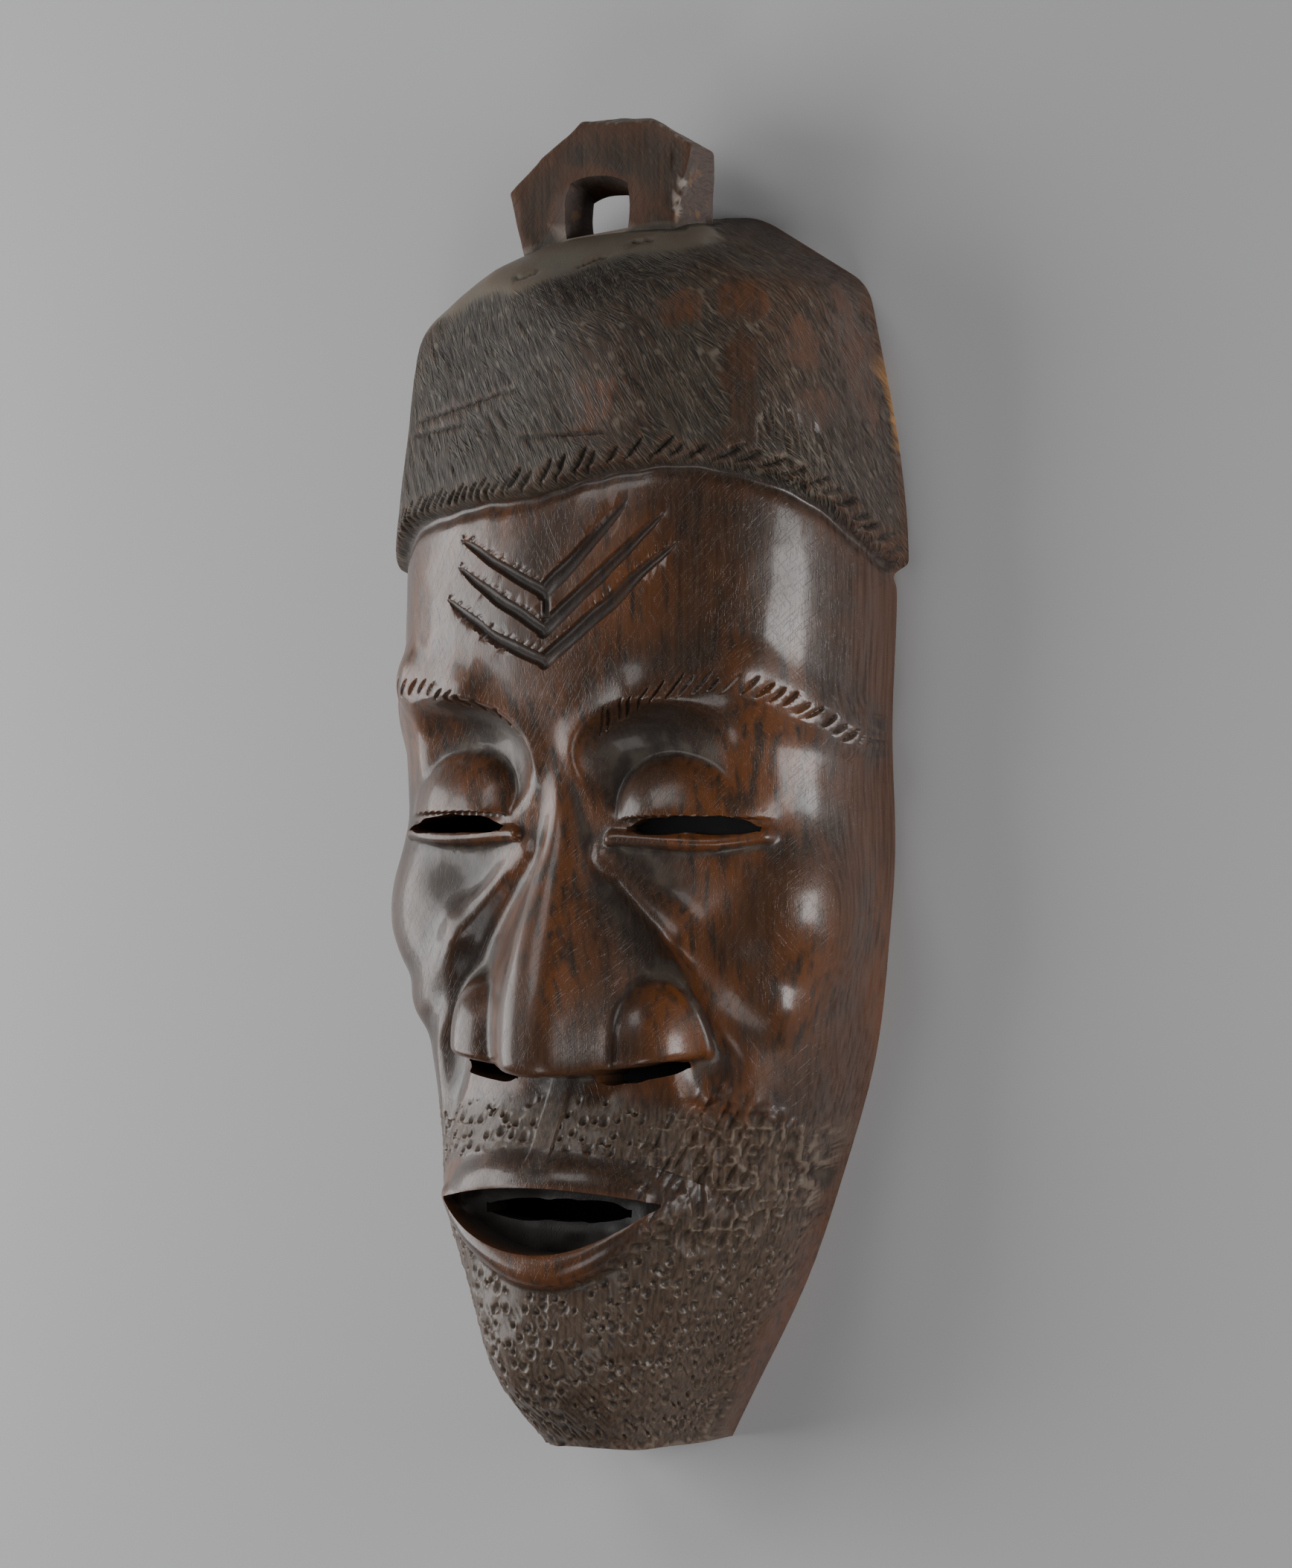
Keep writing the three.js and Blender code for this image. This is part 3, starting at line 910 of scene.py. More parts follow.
@dataclass(frozen=True)
class Chevrons:
    """Three cut chevrons on the forehead, one over another, and a short upright bar.

    Each line runs from its left end over the apex to its right end. The right arms are broad scoops
    and the left ones narrower, with small ticks along them.
    """

    lines: tuple[tuple[tuple[float, float], ...], ...] = (
        ((-40, 57), (-21, 46), (0, 37), (23, 54.5), (44, 74)),
        ((-35, 67), (-18, 57), (0, 47), (21, 64.5), (40, 83)),
        ((-34, 76), (-17, 67), (0, 58.5), (15, 73), (28, 87)),
    )
    broad: float = 2.7
    narrow: float = 2.1
    depth: float = 2.0

    def cut(self, p: Array) -> Array:
        """How deep the chevrons are cut.

        Args:
            p: points of the face.

        Returns:
            The depth at each point.
        """
        flat = p[:, :2] + 0.5 * np.column_stack((clouds(p, 9, 51), clouds(p, 9, 52)))
        deepest = np.zeros(len(p))
        for number, line in enumerate(self.lines):
            along = 0.0
            for piece, (a, b) in enumerate(itertools.pairwise(line)):
                way = np.array(b) - np.array(a)
                length = float(np.hypot(*way))
                off = flat - np.array(a)
                t = np.clip(off @ way / length**2, 0, 1)
                distance = np.linalg.norm(off - t[:, None] * way, axis=1)
                left = (way[0] * off[:, 1] - way[1] * off[:, 0]) / length
                right_arm = piece > 1
                run = (t + piece % 2) / 2 if right_arm else 1 - (t + piece % 2) / 2
                taper = np.sqrt(np.clip(1 - run**3, 0.02, 1))
                half = (self.broad if right_arm else self.narrow) * taper
                deepest = np.maximum(deepest, gouge(distance, half, self.depth * taper))
                place = along + t * length
                tick = Notches(2.9, 35, -1.0, 4.4, 0.75, 0.5, 60 + number).cut(place, left)
                ticked = (distance < 5) & (t > 0) & (t < 1) & (number == 0 or not right_arm)
                deepest = np.maximum(deepest, tick * ticked)
                along += length
        bar = np.maximum(np.abs(flat[:, 0] - 0.6) - 1.5, np.abs(flat[:, 1] - 55) - 4.5)
        return np.maximum(deepest, 1.6 * ramp(-bar, -0.3, 0.7))


@dataclass(frozen=True)
class Stubble:
    """Small crescent pits for the beard, in rough rows."""

    spacing: float = 4.9
    radius: float = 1.75
    depth: float = 1.15

    def height(self, p: Array) -> Array:
        """How far the pits stand below and their burrs above the skin.

        Args:
            p: points.

        Returns:
            The height at each point.
        """
        place = np.column_stack((around(p), p[:, 1])) / self.spacing
        place[:, 0] += 0.5 * (np.floor(place[:, 1]) % 2)
        cell = np.floor(place).astype(np.int64)
        height = np.zeros(len(p))
        for step in itertools.product((-1, 0, 1), repeat=2):
            near = np.column_stack((cell + np.array(step), 0 * cell[:, 0]))
            shift = np.column_stack((scatter(near, 71), scatter(near, 72)))
            off = (place - near[:, :2] - 0.1 - 0.8 * shift) * self.spacing
            size = self.radius * (0.55 + 0.75 * scatter(near, 73))
            there = scatter(near, 74) > 0.14
            reach = np.hypot(off[:, 0], off[:, 1] * 0.9) / size
            lower = np.clip((-off[:, 1] + 0.5 * off[:, 0]) / size, -1, 1)
            pit = -self.depth * np.clip(1.5 * (1 - reach), 0, 1) * (0.55 + 0.65 * lower)
            burr = 0.24 * np.exp(-((reach - 1.2) / 0.22)**2) * np.clip(0.2 + lower, 0, 1)
            height += there * (pit + burr)
        return height


@dataclass(frozen=True)
class Hatching:
    """Short straight strokes that fill a patch, all at about one angle."""

    angle: float
    across: float
    along: float
    half: float
    depth: float
    seed: int

    def cut(self, p: Array) -> Array:
        """How deep the strokes are.

        Args:
            p: points.

        Returns:
            The depth at each point.
        """
        turn = math.radians(self.angle)
        flat = unrolled(p)
        run = flat[:, 0] * math.cos(turn) + flat[:, 1] * math.sin(turn)
        side = -flat[:, 0] * math.sin(turn) + flat[:, 1] * math.cos(turn)
        row = np.floor(side / self.across).astype(np.int64)
        deepest = np.zeros(len(p))
        for step in (-1, 0, 1):
            line = np.column_stack((row + step, 0 * row, 0 * row))
            shifted = run + self.along * scatter(line, self.seed)
            index = np.floor(shifted / self.along).astype(np.int64)
            cell = np.column_stack((row + step, index, 0 * row))
            middle = (row + step + 0.5 + 0.5 * (scatter(cell, self.seed + 1) - 0.5)) * self.across
            t = (shifted / self.along - index) * 2 - 1
            twist = 0.5 * (scatter(cell, self.seed + 2) - 0.5) * t
            point = np.clip(1 - t * t, 0, 1)
            size = 0.4 + 0.8 * scatter(cell, self.seed + 3)
            deepest = np.maximum(deepest, knife(np.abs(side - middle - twist), self.half * point + 1e-6,
                                                self.depth * size * point))
        return deepest


@dataclass(frozen=True)
class Slit:
    """A ragged slit, cut by a body that runs from behind the wall to in front of it."""

    name: str
    left: float
    right: float
    line: Heights
    above: float
    below: float
    start: float
    end: float
    seed: int
    splay: float = 0.0
    splay_from: float = 52.0

    def body(self) -> bpy.types.Object:
        """Make the body that cuts the slit.

        Returns:
            The body.
        """
        def floor(u: Array, v: Array) -> Array:
            """The slit's outline behind the wall.

            Args:
                u: places across, from -1 to 1.
                v: places up, from -1 to 1.

            Returns:
                The places in millimetres.
            """
            x = (self.left + self.right) / 2 + u * (self.right - self.left) / 2
            ragged = clouds(np.column_stack((x, 9 * np.sign(v), 0 * x)), 4, self.seed)
            taper = np.clip((1 - u**6), 0.35, 1)
            high, low = self.line(x) + self.above, self.line(x) - self.below
            y = (high + low) / 2 + v * ((high - low) / 2 * taper + 0.45 * ragged)
            x = x + self.splay * (self.start - self.splay_from)
            return np.column_stack((x, y, 0 * x + self.start))

        rise = self.end - self.start
        return Bench.block(self.name, 34, 3, floor, (self.splay * rise, 0, rise))


@dataclass(frozen=True)
class Mask:
    """The mask: its skin, its lug, its hollow and its slits, as one mesh.

    A spot is a middle, across and up, with half its width and half its height. A long cut is its height,
    its rise, and where it starts and ends. A bevel slit is its middle and its height.
    """

    carving: Carving = Carving()
    fan: Fan = Fan()
    chevrons: Chevrons = Chevrons()
    brow_line: Curve = Curve((8, 10), (22, 20), (39, 27.5), (58, 30.5), (76, 26), (100, 14))
    columns: int = 98
    rows: int = 152
    chin_y: float = -210.0
    wall: float = 14.0
    lug_start: float = 28.0
    lug_depth: float = 14.0
    lug_back: tuple[tuple[float, float], ...] = (
        (34, 160), (34, 179), (34.4, 188), (34.2, 197.5), (10, 210),
        (-8, 210), (-22.6, 199), (-35.2, 187), (-30, 169.5), (-28, 160))
    lug_front: tuple[tuple[float, float], ...] = (
        (27.2, 160), (27.2, 177.4), (31.7, 187.4), (34.4, 198.7), (20.5, 207),
        (-7, 208), (-22, 197.5), (-34.4, 187), (-29.5, 169.5), (-27, 160))
    most_points: int = 97000
    sharp_angle: float = 42.0
    pocket_floor: float = 66.0
    gouge_marks: float = 0.012
    strokes: Notches = Notches(4.3, 40, -3.8, 4.0, 0.85, 1.15, 90)
    broad_notches: Notches = Notches(6.4, 42, 0.6, 9.8, 1.5, 1.7, 80)
    thin_notches: Notches = Notches(3.5, 42, 0.4, 8.0, 0.95, 1.2, 81)
    chin_cuts: Hatching = Hatching(-52, 2.6, 7.0, 0.6, 0.5, 100)
    hacked_cuts: Hatching = Hatching(60, 4.4, 9.0, 1.4, 1.4, 110)
    fine_cuts: Hatching = Hatching(-50, 2.4, 13.0, 1.0, 0.42, 120)
    steep_cuts: Hatching = Hatching(-62, 2.6, 14.0, 1.0, 0.42, 130)
    scraped_cuts: Hatching = Hatching(-80, 2.5, 18.0, 1.15, 1.0, 140)
    bold_cuts: Hatching = Hatching(-47, 5.2, 24.0, 1.0, 0.65, 150)
    long_cuts: tuple[Spot, ...] = ((118, 0.17, -66, -8), (112, 0.09, -68, -34), (106, 0.03, -12, 26))
    bevel_slits: tuple[tuple[float, float], ...] = ((-16, -5), (6, -3), (19, -6))
    round_mouth: Spot = (-2, -136, 58, 22)
    hacked_patch: Spot = (51, -120, 20, 29)
    scraped_patch: Spot = (80, 13, 12, 13)
    chip: Spot = (117, 0, 12, 1.5)
    rubbed: tuple[Spot, ...] = (
        (65, 147, 9, 6), (64, 125, 5, 16), (86, 136, 7, 9), (108, 130, 9, 22), (88, 115, 11, 8),
        (18, 118, 8, 9), (46, 146, 8, 6), (63, 107, 6, 4))
    warm_spots: tuple[Spot, ...] = (
        (28, 62, 17, 24), (-36, 74, 12, 8), (-34, 36, 12, 8), (84, -60, 12, 26), (10, -60, 9, 16),
        (86, 150, 26, 30), (22, 120, 15, 18))

    def skin(self) -> bpy.types.Object:
        """Make the outside: a grid laid on the carved form, finer where there is fine carving.

        Returns:
            The skin, closed at the back.
        """
        skin = Bench.grid("carved_mask", self.columns, self.rows)
        for wanted in (self.carved, self.engraved, self.crisp):
            Bench.refine(skin, wanted(self.middles(skin)))
        flat = Bench.places(skin)
        points = self.fan.cast(self.carving.distance, flat)
        rim = self.fan.on_rim(flat)
        points[rim, 2] = 0
        points = self.relax(skin, points, rim)
        _, slope = self.carving.normals(points)
        out = slope / np.maximum(np.linalg.norm(slope, axis=1), 1e-6)[:, None]
        points += out * self.relief(points)[:, None] * (1 - rim)[:, None]
        Bench.place(skin, points)
        Bench.close_back(skin)
        log.info("skin of %d points", len(points))
        return skin

    def middles(self, skin: bpy.types.Object) -> Array:
        """Where the middle of each face of the flat grid comes to lie on the head."""
        flat = np.array([face.center[:2] for face in skin.data.polygons])
        return self.fan.cast(self.carving.head.distance, flat, step=6.0)

    def carved(self, p: Array) -> Array:
        """Which places carry carving."""
        return (p[:, 2] > 14) | (self.carving.cap.above_rim(p) > -8)

    def engraved(self, p: Array) -> Array:
        """Which places carry fine engraving.

        Args:
            p: points of the head.

        Returns:
            One truth value a point.
        """
        x, y, z = p.T
        cap = (self.carving.cap.above_rim(p) > -5) & (z > 6)
        beard = (y <= -96) & (y > -206) & (z > 26)
        slit = (np.abs(y + 13) < 6) & (np.abs(x) > 14) & (np.abs(x) < 70)
        return self.patterned(p) | cap | self.browed(p) & (z > 12) | beard | slit

    def patterned(self, p: Array) -> Array:
        """Which places lie near the chevrons.

        Args:
            p: points of the head.

        Returns:
            One truth value a point.
        """
        x, y, z = p.T
        high = (y > 32 + 0.6 * np.abs(x)) & (y < 66 + 0.7 * np.abs(x))
        return (np.abs(x - 2) < 48) & high & (self.carving.cap.above_rim(p) < 0) & (z > 50)

    def browed(self, p: Array) -> Array:
        """Which places lie near the strokes of the brows."""
        off = np.abs(p[:, 1] - self.brow_line(np.abs(around(p))))
        return (off < 6) & (np.abs(p[:, 0]) > 12)

    def crisp(self, p: Array) -> Array:
        """Which places carry the crispest cuts: chevrons, brows, the cap's rim and the pits.

        Args:
            p: points of the head.

        Returns:
            One truth value a point.
        """
        _, y, z = p.T
        above = self.carving.cap.above_rim(p)
        pitted = (y < -100) & (y > -146) & (z > 52)
        notched = (above > -3) & (above < 14)
        return self.patterned(p) | pitted | (notched | self.browed(p)) & (z > 14)

    def relax(self, skin: bpy.types.Object, points: Array, fixed: Array, rounds: int = 4) -> Array:
        """Even out the points over the form, and keep them on it.

        Args:
            skin: the mesh that joins them.
            points: their places.
            fixed: those that stay.
            rounds: how often.

        Returns:
            The new places.
        """
        start, end = Bench.neighbours(skin)
        free = (~fixed)[:, None]

        def settled(most: float) -> tuple[Array, Array, Array]:
            """The points drawn on to the form.

            Args:
                most: the longest step.

            Returns:
                The points, the slopes and the slopes' sizes.
            """
            here, slope = self.carving.normals(points)
            size = np.maximum(np.sum(slope * slope, axis=1), 0.2)
            return points - free * slope * np.clip(here / size, -most, most)[:, None], slope, size

        for _ in range(rounds):
            points, slope, size = settled(1.5)
            pull = Bench.average(points, start, end) - points
            across = np.sum(pull * slope, axis=1) / size
            points = points + free * 0.5 * (pull - slope * across[:, None])
        return settled(1)[0]

    def zones(self, p: Array) -> dict[str, Array]:
        """How far each kind of surface holds: cap, beard, hacked patch and places rubbed smooth.

        Args:
            p: points.

        Returns:
            One number from 0 to 1 a point, for each kind.
        """
        x, y, z = p.T
        above = self.carving.cap.above_rim(p)
        edge = 5 * clouds(p, 22, 31)
        mouth = oval(x, y, self.round_mouth) < 1
        lip_line = self.carving.mouth.y - 27 * self.carving.mouth.arch(x)
        beard = ramp(-(y + 97 + 0.0015 * x * x + 0.4 * edge), 0, 5) * ramp(z - 8 + edge, 0, 10)
        lips = ramp(y - lip_line, -3, 1) * ramp(-116 - y, -6, 0) * mouth
        beard = beard * (1 - lips)
        side, up, broad, high = self.hacked_patch
        patch = np.hypot((x - side) / broad, (y - up - 0.25 * (x - side)) / high) + 0.05 * edge
        hacked = ramp(1.1 - patch, 0, 0.35) * (1 - lips * 0.5)
        smooth = np.zeros(len(p))
        for spot in self.rubbed:
            off = oval(around(p), y, spot)
            off += 0.35 * clouds(p * (1, 0.6, 1), 5, 61) + 0.2 * clouds(p, 2.2, 64)
            smooth = np.maximum(smooth, ramp(1.15 - off, 0, 0.3))
        return {"cap": ramp(above, -0.6, 0.6), "beard": beard, "hacked": hacked, "smooth": smooth}

    def relief(self, p: Array) -> Array:
        """How far the surface stands out from the carved form at each point.

        Args:
            p: points.

        Returns:
            One height a point.
        """
        zones = self.zones(p)
        x, y, _ = p.T
        cap = zones["cap"]
        height = 0.30 * clouds(p * (1, 0.5, 1), 17, 3) + 0.10 * clouds(p, 6, 4)
        height -= (1 - cap) * 0.22 * np.abs(clouds(p * (1, 0.4, 1), 8, 7))
        height += cap * (0.45 * clouds(p, 24, 5) + 0.15 * clouds(p, 8, 6))
        height -= self.cap_cuts(p, cap, zones["smooth"])
        height -= (1 - cap) * self.chevrons.cut(p)
        side = around(p)
        strokes = self.strokes.cut(side, y - self.brow_line(np.abs(side)))
        height -= (1 - cap) * strokes * (np.abs(x) > 14)
        beard = zones["beard"] * (1 - zones["hacked"])
        philtrum = self.philtrum(p)
        facets = 0.35 * np.abs(clouds(p * (1, 0.7, 1), 5.5, 43))
        height += beard * (1 - philtrum) * (Stubble().height(p) - facets + 0.1)
        height -= beard * ramp(-y, 158, 168) * self.chin_cuts.cut(p)
        height += 0.5 * philtrum
        lumps = np.abs(clouds(p, 6.5, 41)) * 2.6 + np.abs(clouds(p, 2.8, 42)) * 1.1
        height -= zones["hacked"] * (lumps + self.hacked_cuts.cut(p) - 1.4)
        return height

    def cap_cuts(self, p: Array, cap: Array, smooth: Array) -> Array:
        """How deep the cap's hatching, rim notches, long cuts and slits are.

        Args:
            p: points.
            cap: how far each is on the cap.
            smooth: how far each is in a place rubbed smooth.

        Returns:
            The depths.
        """
        x, y, _ = p.T
        above = self.carving.cap.above_rim(p)
        along, off = self.carving.cap.along_rim(p)
        side, below = around(p), self.below_bevel(p)
        hatched = cap * (1 - smooth) * ramp(above, 8, 14) * ramp(below, 0, 6)
        turn = ramp(clouds(p, 34, 62), -0.05, 0.1)
        hatching = self.fine_cuts.cut(p) * turn + self.steep_cuts.cut(p) * (1 - turn)
        bold = self.bold_cuts.cut(p) * ramp(clouds(p, 16, 65), -0.25, 0.1)
        left = ramp(-side, 6, 20)
        cuts = [hatched * np.maximum(hatching, bold), self.scraped_cuts.cut(p) * self.scrape(p),
                self.broad_notches.cut(along, off) * (1 - left), self.thin_notches.cut(along, off) * left]
        for up, rise, start, end in self.long_cuts:
            groove = gouge(np.abs(y - up - rise * (side + 40)), 0.7, 0.75)
            cuts.append(cap * (groove * ramp(side, start, start + 6) * ramp(end - side, 0, 6)))
        for middle, low in self.bevel_slits:
            groove = gouge(np.abs(below - low - 0.12 * (x - middle)), 0.6, 0.8)
            cuts.append(cap * (groove * ramp(6 - np.abs(x - middle), 0, 3)))
        return np.maximum.reduce(cuts)

    def scrape(self, p: Array) -> Array:
        """How far each point is in the scraped patch above the rim."""
        return ramp(1.1 - oval(around(p), self.carving.cap.above_rim(p), self.scraped_patch), 0, 0.2)

    def below_bevel(self, p: Array) -> Array:
        """How far each point lies below the smooth bevel at the lug's foot.

        Args:
            p: points.

        Returns:
            One length a point.
        """
        x, y, z = p.T
        behind = 24 * ramp(36 - z, 0, 10)
        return 158.5 + 0.22 * x - y + behind + 2.5 * clouds(p, 9, 63)

    def philtrum(self, p: Array) -> Array:
        """The smooth band from the nose to the upper lip.

        Args:
            p: points.

        Returns:
            One number from 0 to 1 a point.
        """
        x, y, _ = p.T
        across = ramp(4.4 - np.abs(x - 0.6 - 0.1 * (y + 105)), 0, 1.2)
        return across * ramp(-y, 90, 93) * ramp(y, -121, -117)

    def hollow(self) -> bpy.types.Object:
        """Make the body that is hollowed out of the back, with the marks of the gouge on it.

        Returns:
            The body.
        """
        head = self.carving.head

        def form(p: Array) -> Array:
            """Distance to the hollow.

            Args:
                p: points.

            Returns:
                One distance a point.
            """
            inside = np.maximum(head.distance(p) + self.wall, self.chin_y + 16 - p[:, 1])
            for facet in self.carving.cap.facets:
                flat = facet.distance(p) + self.wall + self.carving.cap.thickness
                inside = soft_max(inside, flat, 12)
            return inside

        body = Bench.grid("hollow", 40, 70)
        flat = Bench.places(body)
        points = self.fan.cast(form, flat, step=4.0)
        points *= 1 + self.gouge_marks * clouds(points * (1, 0.45, 1), 11, 8)[:, None]
        rim = self.fan.on_rim(flat)
        points[rim, 2] = -6
        Bench.place(body, points)
        Bench.close_back(body)
        return body

    def below_chin(self) -> bpy.types.Object:
        """Make the block that is sawn off under the chin.

        Returns:
            The block.
        """
        def floor(u: Array, v: Array) -> Array:
            """A slightly waved sawn face.

            Args:
                u: places across, from -1 to 1.
                v: places up, from -1 to 1.

            Returns:
                The places in millimetres.
            """
            x, z = u * 90, v * 60 + 50
            flat = np.column_stack((x, 0 * x, z))
            return np.column_stack((x, self.chin_y + 0.8 * clouds(flat, 14, 5) + 0.6, z))

        return Bench.block("below_chin", 60, 40, floor, (0, -200, 0))

    def pocket(self) -> bpy.types.Object:
        """Make the body cut out between the lips, with a roughly gouged floor.

        Returns:
            The body.
        """
        mouth = self.carving.mouth

        def floor(u: Array, v: Array) -> Array:
            """The lens between the lips, laid on the pocket's floor.

            Args:
                u: places across, from -1 to 1.
                v: places up, from -1 to 1.

            Returns:
                The places in millimetres.
            """
            x = u * (mouth.half - 2)
            arch = mouth.arch(x * 1.04)
            high, low = mouth.y + 0.2 + 4.5 * arch, mouth.y - 0.2 - 16 * arch
            y = low + (high - low) * (v + 1) / 2
            flat = np.column_stack((x, y, 0 * x))
            z = self.pocket_floor + 1.2 * clouds(flat * (0.5, 1, 1), 4, 11)
            return np.column_stack((x, y, z))

        return Bench.block("pocket", 70, 16, floor, (0, 0, 60))

    def slits(self) -> list[Slit]:
        """The slits of the eyes, the nostrils and the mouth.

        Returns:
            The slits.
        """
        eyes, nose = self.carving.eyes, self.carving.nose
        splay = math.tan(math.radians(20))
        slits = []
        for side in (1, -1):
            ends = sorted((side * (eyes.middle - eyes.half), side * (eyes.middle + eyes.half)))
            slits.append(Slit("eye_slit", *ends, eyes.slit_y, 2.2, 3.3, 8, 110, 20 + side, side * splay))
            ends = sorted((side * 15, side * 42))
            slits.append(Slit("nostril", *ends, nose.base_y, 0.3, 4.9, 20, 110, 30 + side))
        slits.append(Slit("mouth_slit", -27, 27, lambda x: -134 + 0 * x, 3.5, 3.5, 30, 120, 41))
        return slits

    def lug(self) -> bpy.types.Object:
        """Make the lug on the crown, wider at the back below and higher there on top.

        Returns:
            The lug.
        """
        Bench.clear()
        bpy.ops.mesh.primitive_circle_add(vertices=len(self.lug_back), fill_type="NGON")
        lug = Bench.take("lug")
        back, front = np.array(self.lug_back), np.array(self.lug_front)
        Bench.place(lug, np.column_stack((back, np.full(len(back), self.lug_start))))
        with Bench.editing(lug):
            Bench.push(0, 0, self.lug_depth)
        p = Bench.places(lug) / MM
        corner = np.argmin(np.linalg.norm(p[:, None, :2] - back, axis=2), axis=1)
        p[:, :2] = np.where(p[:, 2:] > self.lug_start + self.lug_depth / 2, front[corner], p[:, :2])
        Bench.place(lug, p)
        with Bench.editing(lug):
            Bench.face_outwards()
            bpy.ops.mesh.bevel(offset=0.0010, segments=2, affect="EDGES")
            bpy.ops.mesh.quads_convert_to_tris()
            bpy.ops.mesh.subdivide(number_cuts=9)
        p = Bench.places(lug) / MM
        x, y, z = p.T
        outward = p - np.array((1.0, 184.0, 35.0))
        outward /= np.linalg.norm(outward, axis=1)[:, None]
        uneven = 0.40 * clouds(p * (1, 0.5, 1), 7, 91) + 0.16 * clouds(p * (1, 0.3, 1), 2.4, 92)
        edge = ramp(x, 22, 27) * ramp(z, 37, 41) * ramp(y, 176, 181) * ramp(-y, -200, -196)
        chipped = edge * np.maximum(clouds(p * (1, 0.6, 1), 3.6, 93) + 0.35, 0) * 2.0
        Bench.place(lug, p + outward * (uneven - chipped)[:, None])
        return lug

    def lug_hole(self) -> bpy.types.Object:
        """Make the body of the door-shaped hole through the lug.

        Its floor follows the crown, its ceiling falls to the back, and its left jamb is split.

        Returns:
            The body.
        """
        block = Bench.grid("lug_hole", 16, 22)
        flat = Bench.places(block)
        u, v = flat[:, 0], flat[:, 1]
        Bench.place(block, np.column_stack((u, 0 * u, 44 + 28 * v)))
        with Bench.editing(block):
            for _ in range(10):
                Bench.push(0, 0.1, 0)
            Bench.face_outwards()
        p = Bench.places(block) / MM
        u, rise, z = p.T
        uneven = clouds(np.column_stack((30 * u, 20 * rise, z)), 5, 94)
        swell = 0.6 * np.sin(np.pi * rise) + 0.25 * uneven
        split = 1.6 * ramp(-u, 0.9, 1) * ramp(z, 33, 42) * ramp(0.75 - np.abs(rise - 0.35), 0, 0.5)
        x = -0.3 + u * (10.7 + swell) - split
        floor = 172.8 + 0.11 * x
        ceiling = 191 - 2.4 * np.abs(u)**2.5 - 0.03 * x + 0.38 * np.clip(z - 42, -30, 0)
        y = floor + (ceiling - floor) * rise
        Bench.place(block, np.column_stack((x, y, z)))
        return block

    def build(self) -> bpy.types.Object:
        """Carve the mask as one finished mesh.

        Returns:
            The mask.
        """
        mask = self.skin()
        Bench.join(mask, self.lug(), Join.ADD)
        bodies = (self.lug_hole, self.below_chin, self.pocket, self.hollow)
        for body in (*bodies, *(slit.body for slit in self.slits())):
            Bench.join(mask, body(), Join.CUT)
        Bench.thin_out(mask, self.most_points)
        Bench.hold(mask)
        bpy.ops.object.shade_smooth_by_angle(angle=math.radians(self.sharp_angle))
        self.note_surfaces(mask)
        return mask

    def note_surfaces(self, mask: bpy.types.Object) -> None:
        """Note on every point what kind of surface it is, for the wood's finish to read.

        Args:
            mask: the carved mask.
        """
        p = Bench.places(mask) / MM
        x, y, z = p.T
        side, form, zones = around(p), self.carving.distance(p), self.zones(p)
        outward, fine_dip, wide_dip = self.dips(mask, p)
        on_skin = ramp(form, -4.5, -3.0) * ramp(6 - form, 0, 2)
        on_lug = ramp(form, 0.5, 1.6) * (y > 160)
        chip = ramp(1.1 - oval(y, z, self.chip) - 0.3 * clouds(p, 4, 95), 0, 0.3) * (x > 70)
        notes = {
            "lug": on_lug,
            "lug_top": on_lug * ramp(outward[:, 1], 0.4, 0.8),
            # the lug's right-facing side: a painted mauve-grey sheen, with real scuffs on it
            "lug_side": on_lug * ramp(outward[:, 0], 0.45, 0.8),
            "lug_split": on_lug * self.splits(p),
            "smooth": zones["smooth"] * zones["cap"],
            # the smooth band under the lug: olive-grey wood, painted lighter as a sheen from above
            "bevel": zones["cap"] * ramp(-self.below_bevel(p), -2, 2),
            "cap": zones["cap"] * on_skin,
            "beard": zones["beard"] * on_skin,
            "hacked": zones["hacked"] * on_skin,
            "inside": 1 - ramp(form, -5.0, -3.0),
            # the floor of the mouth's pocket, which is painted near black as shade
            "pocket": (1 - ramp(form, -4.0, -1.5)) * ramp(z, 59, 62) * (y < -118),
            # how far each point lies in a dip: painted shade darkens it, and dust gathers in the deeper
            # ones
            "crevice_shade_and_dust": np.clip(fine_dip * 3.0, 0, 1) * 0.6 + np.clip(wide_dip * 0.55, 0, 1) * 0.6,
            "worn": np.clip(-fine_dip * 2.6, 0, 1),
            "raw": chip,
            "warm": on_skin * sum(np.exp(-oval(side, y, spot)**2) for spot in self.warm_spots),
            "scraped": self.scrape(p) * on_skin,
            # the far sides, which are given a painted mauve-grey sheen
            "side": ramp(side, 78, 108) * on_skin,
            # depth of the chevron grooves, darkened by dust and painted shade
            "engraved": (1 - zones["cap"]) * on_skin * self.chevrons.cut(p) / self.chevrons.depth,
        }
        for name, values in notes.items():
            attribute = mask.data.attributes.new(name, "FLOAT", "POINT")
            attribute.data.foreach_set("value", np.clip(values, 0, 1).astype(np.float32))
        spread = mask.data.attributes.new("spread", "FLOAT_VECTOR", "POINT")
        spread.data.foreach_set("vector", (np.column_stack((unrolled(p), 0 * form)) * MM).ravel())

    def dips(self, mask: bpy.types.Object, p: Array) -> tuple[Array, Array, Array]:
        """Each point's outward way, and how far it lies below what is near it and around it.

        Args:
            mask: the carved mask.
            p: its points.

        Returns:
            The three, one row or number a point.
        """
        mask.data.update()
        outward = np.empty(len(p) * 3)
        mask.data.vertex_normals.foreach_get("vector", outward)
        outward = outward.reshape(-1, 3)
        start, end = Bench.neighbours(mask)
        around_it, depths = p, []
        for rounds in (3, 14):
            for _ in range(rounds):
                around_it = Bench.average(around_it, start, end)
            depths.append(np.sum((around_it - p) * outward, axis=1))
        return outward, *depths

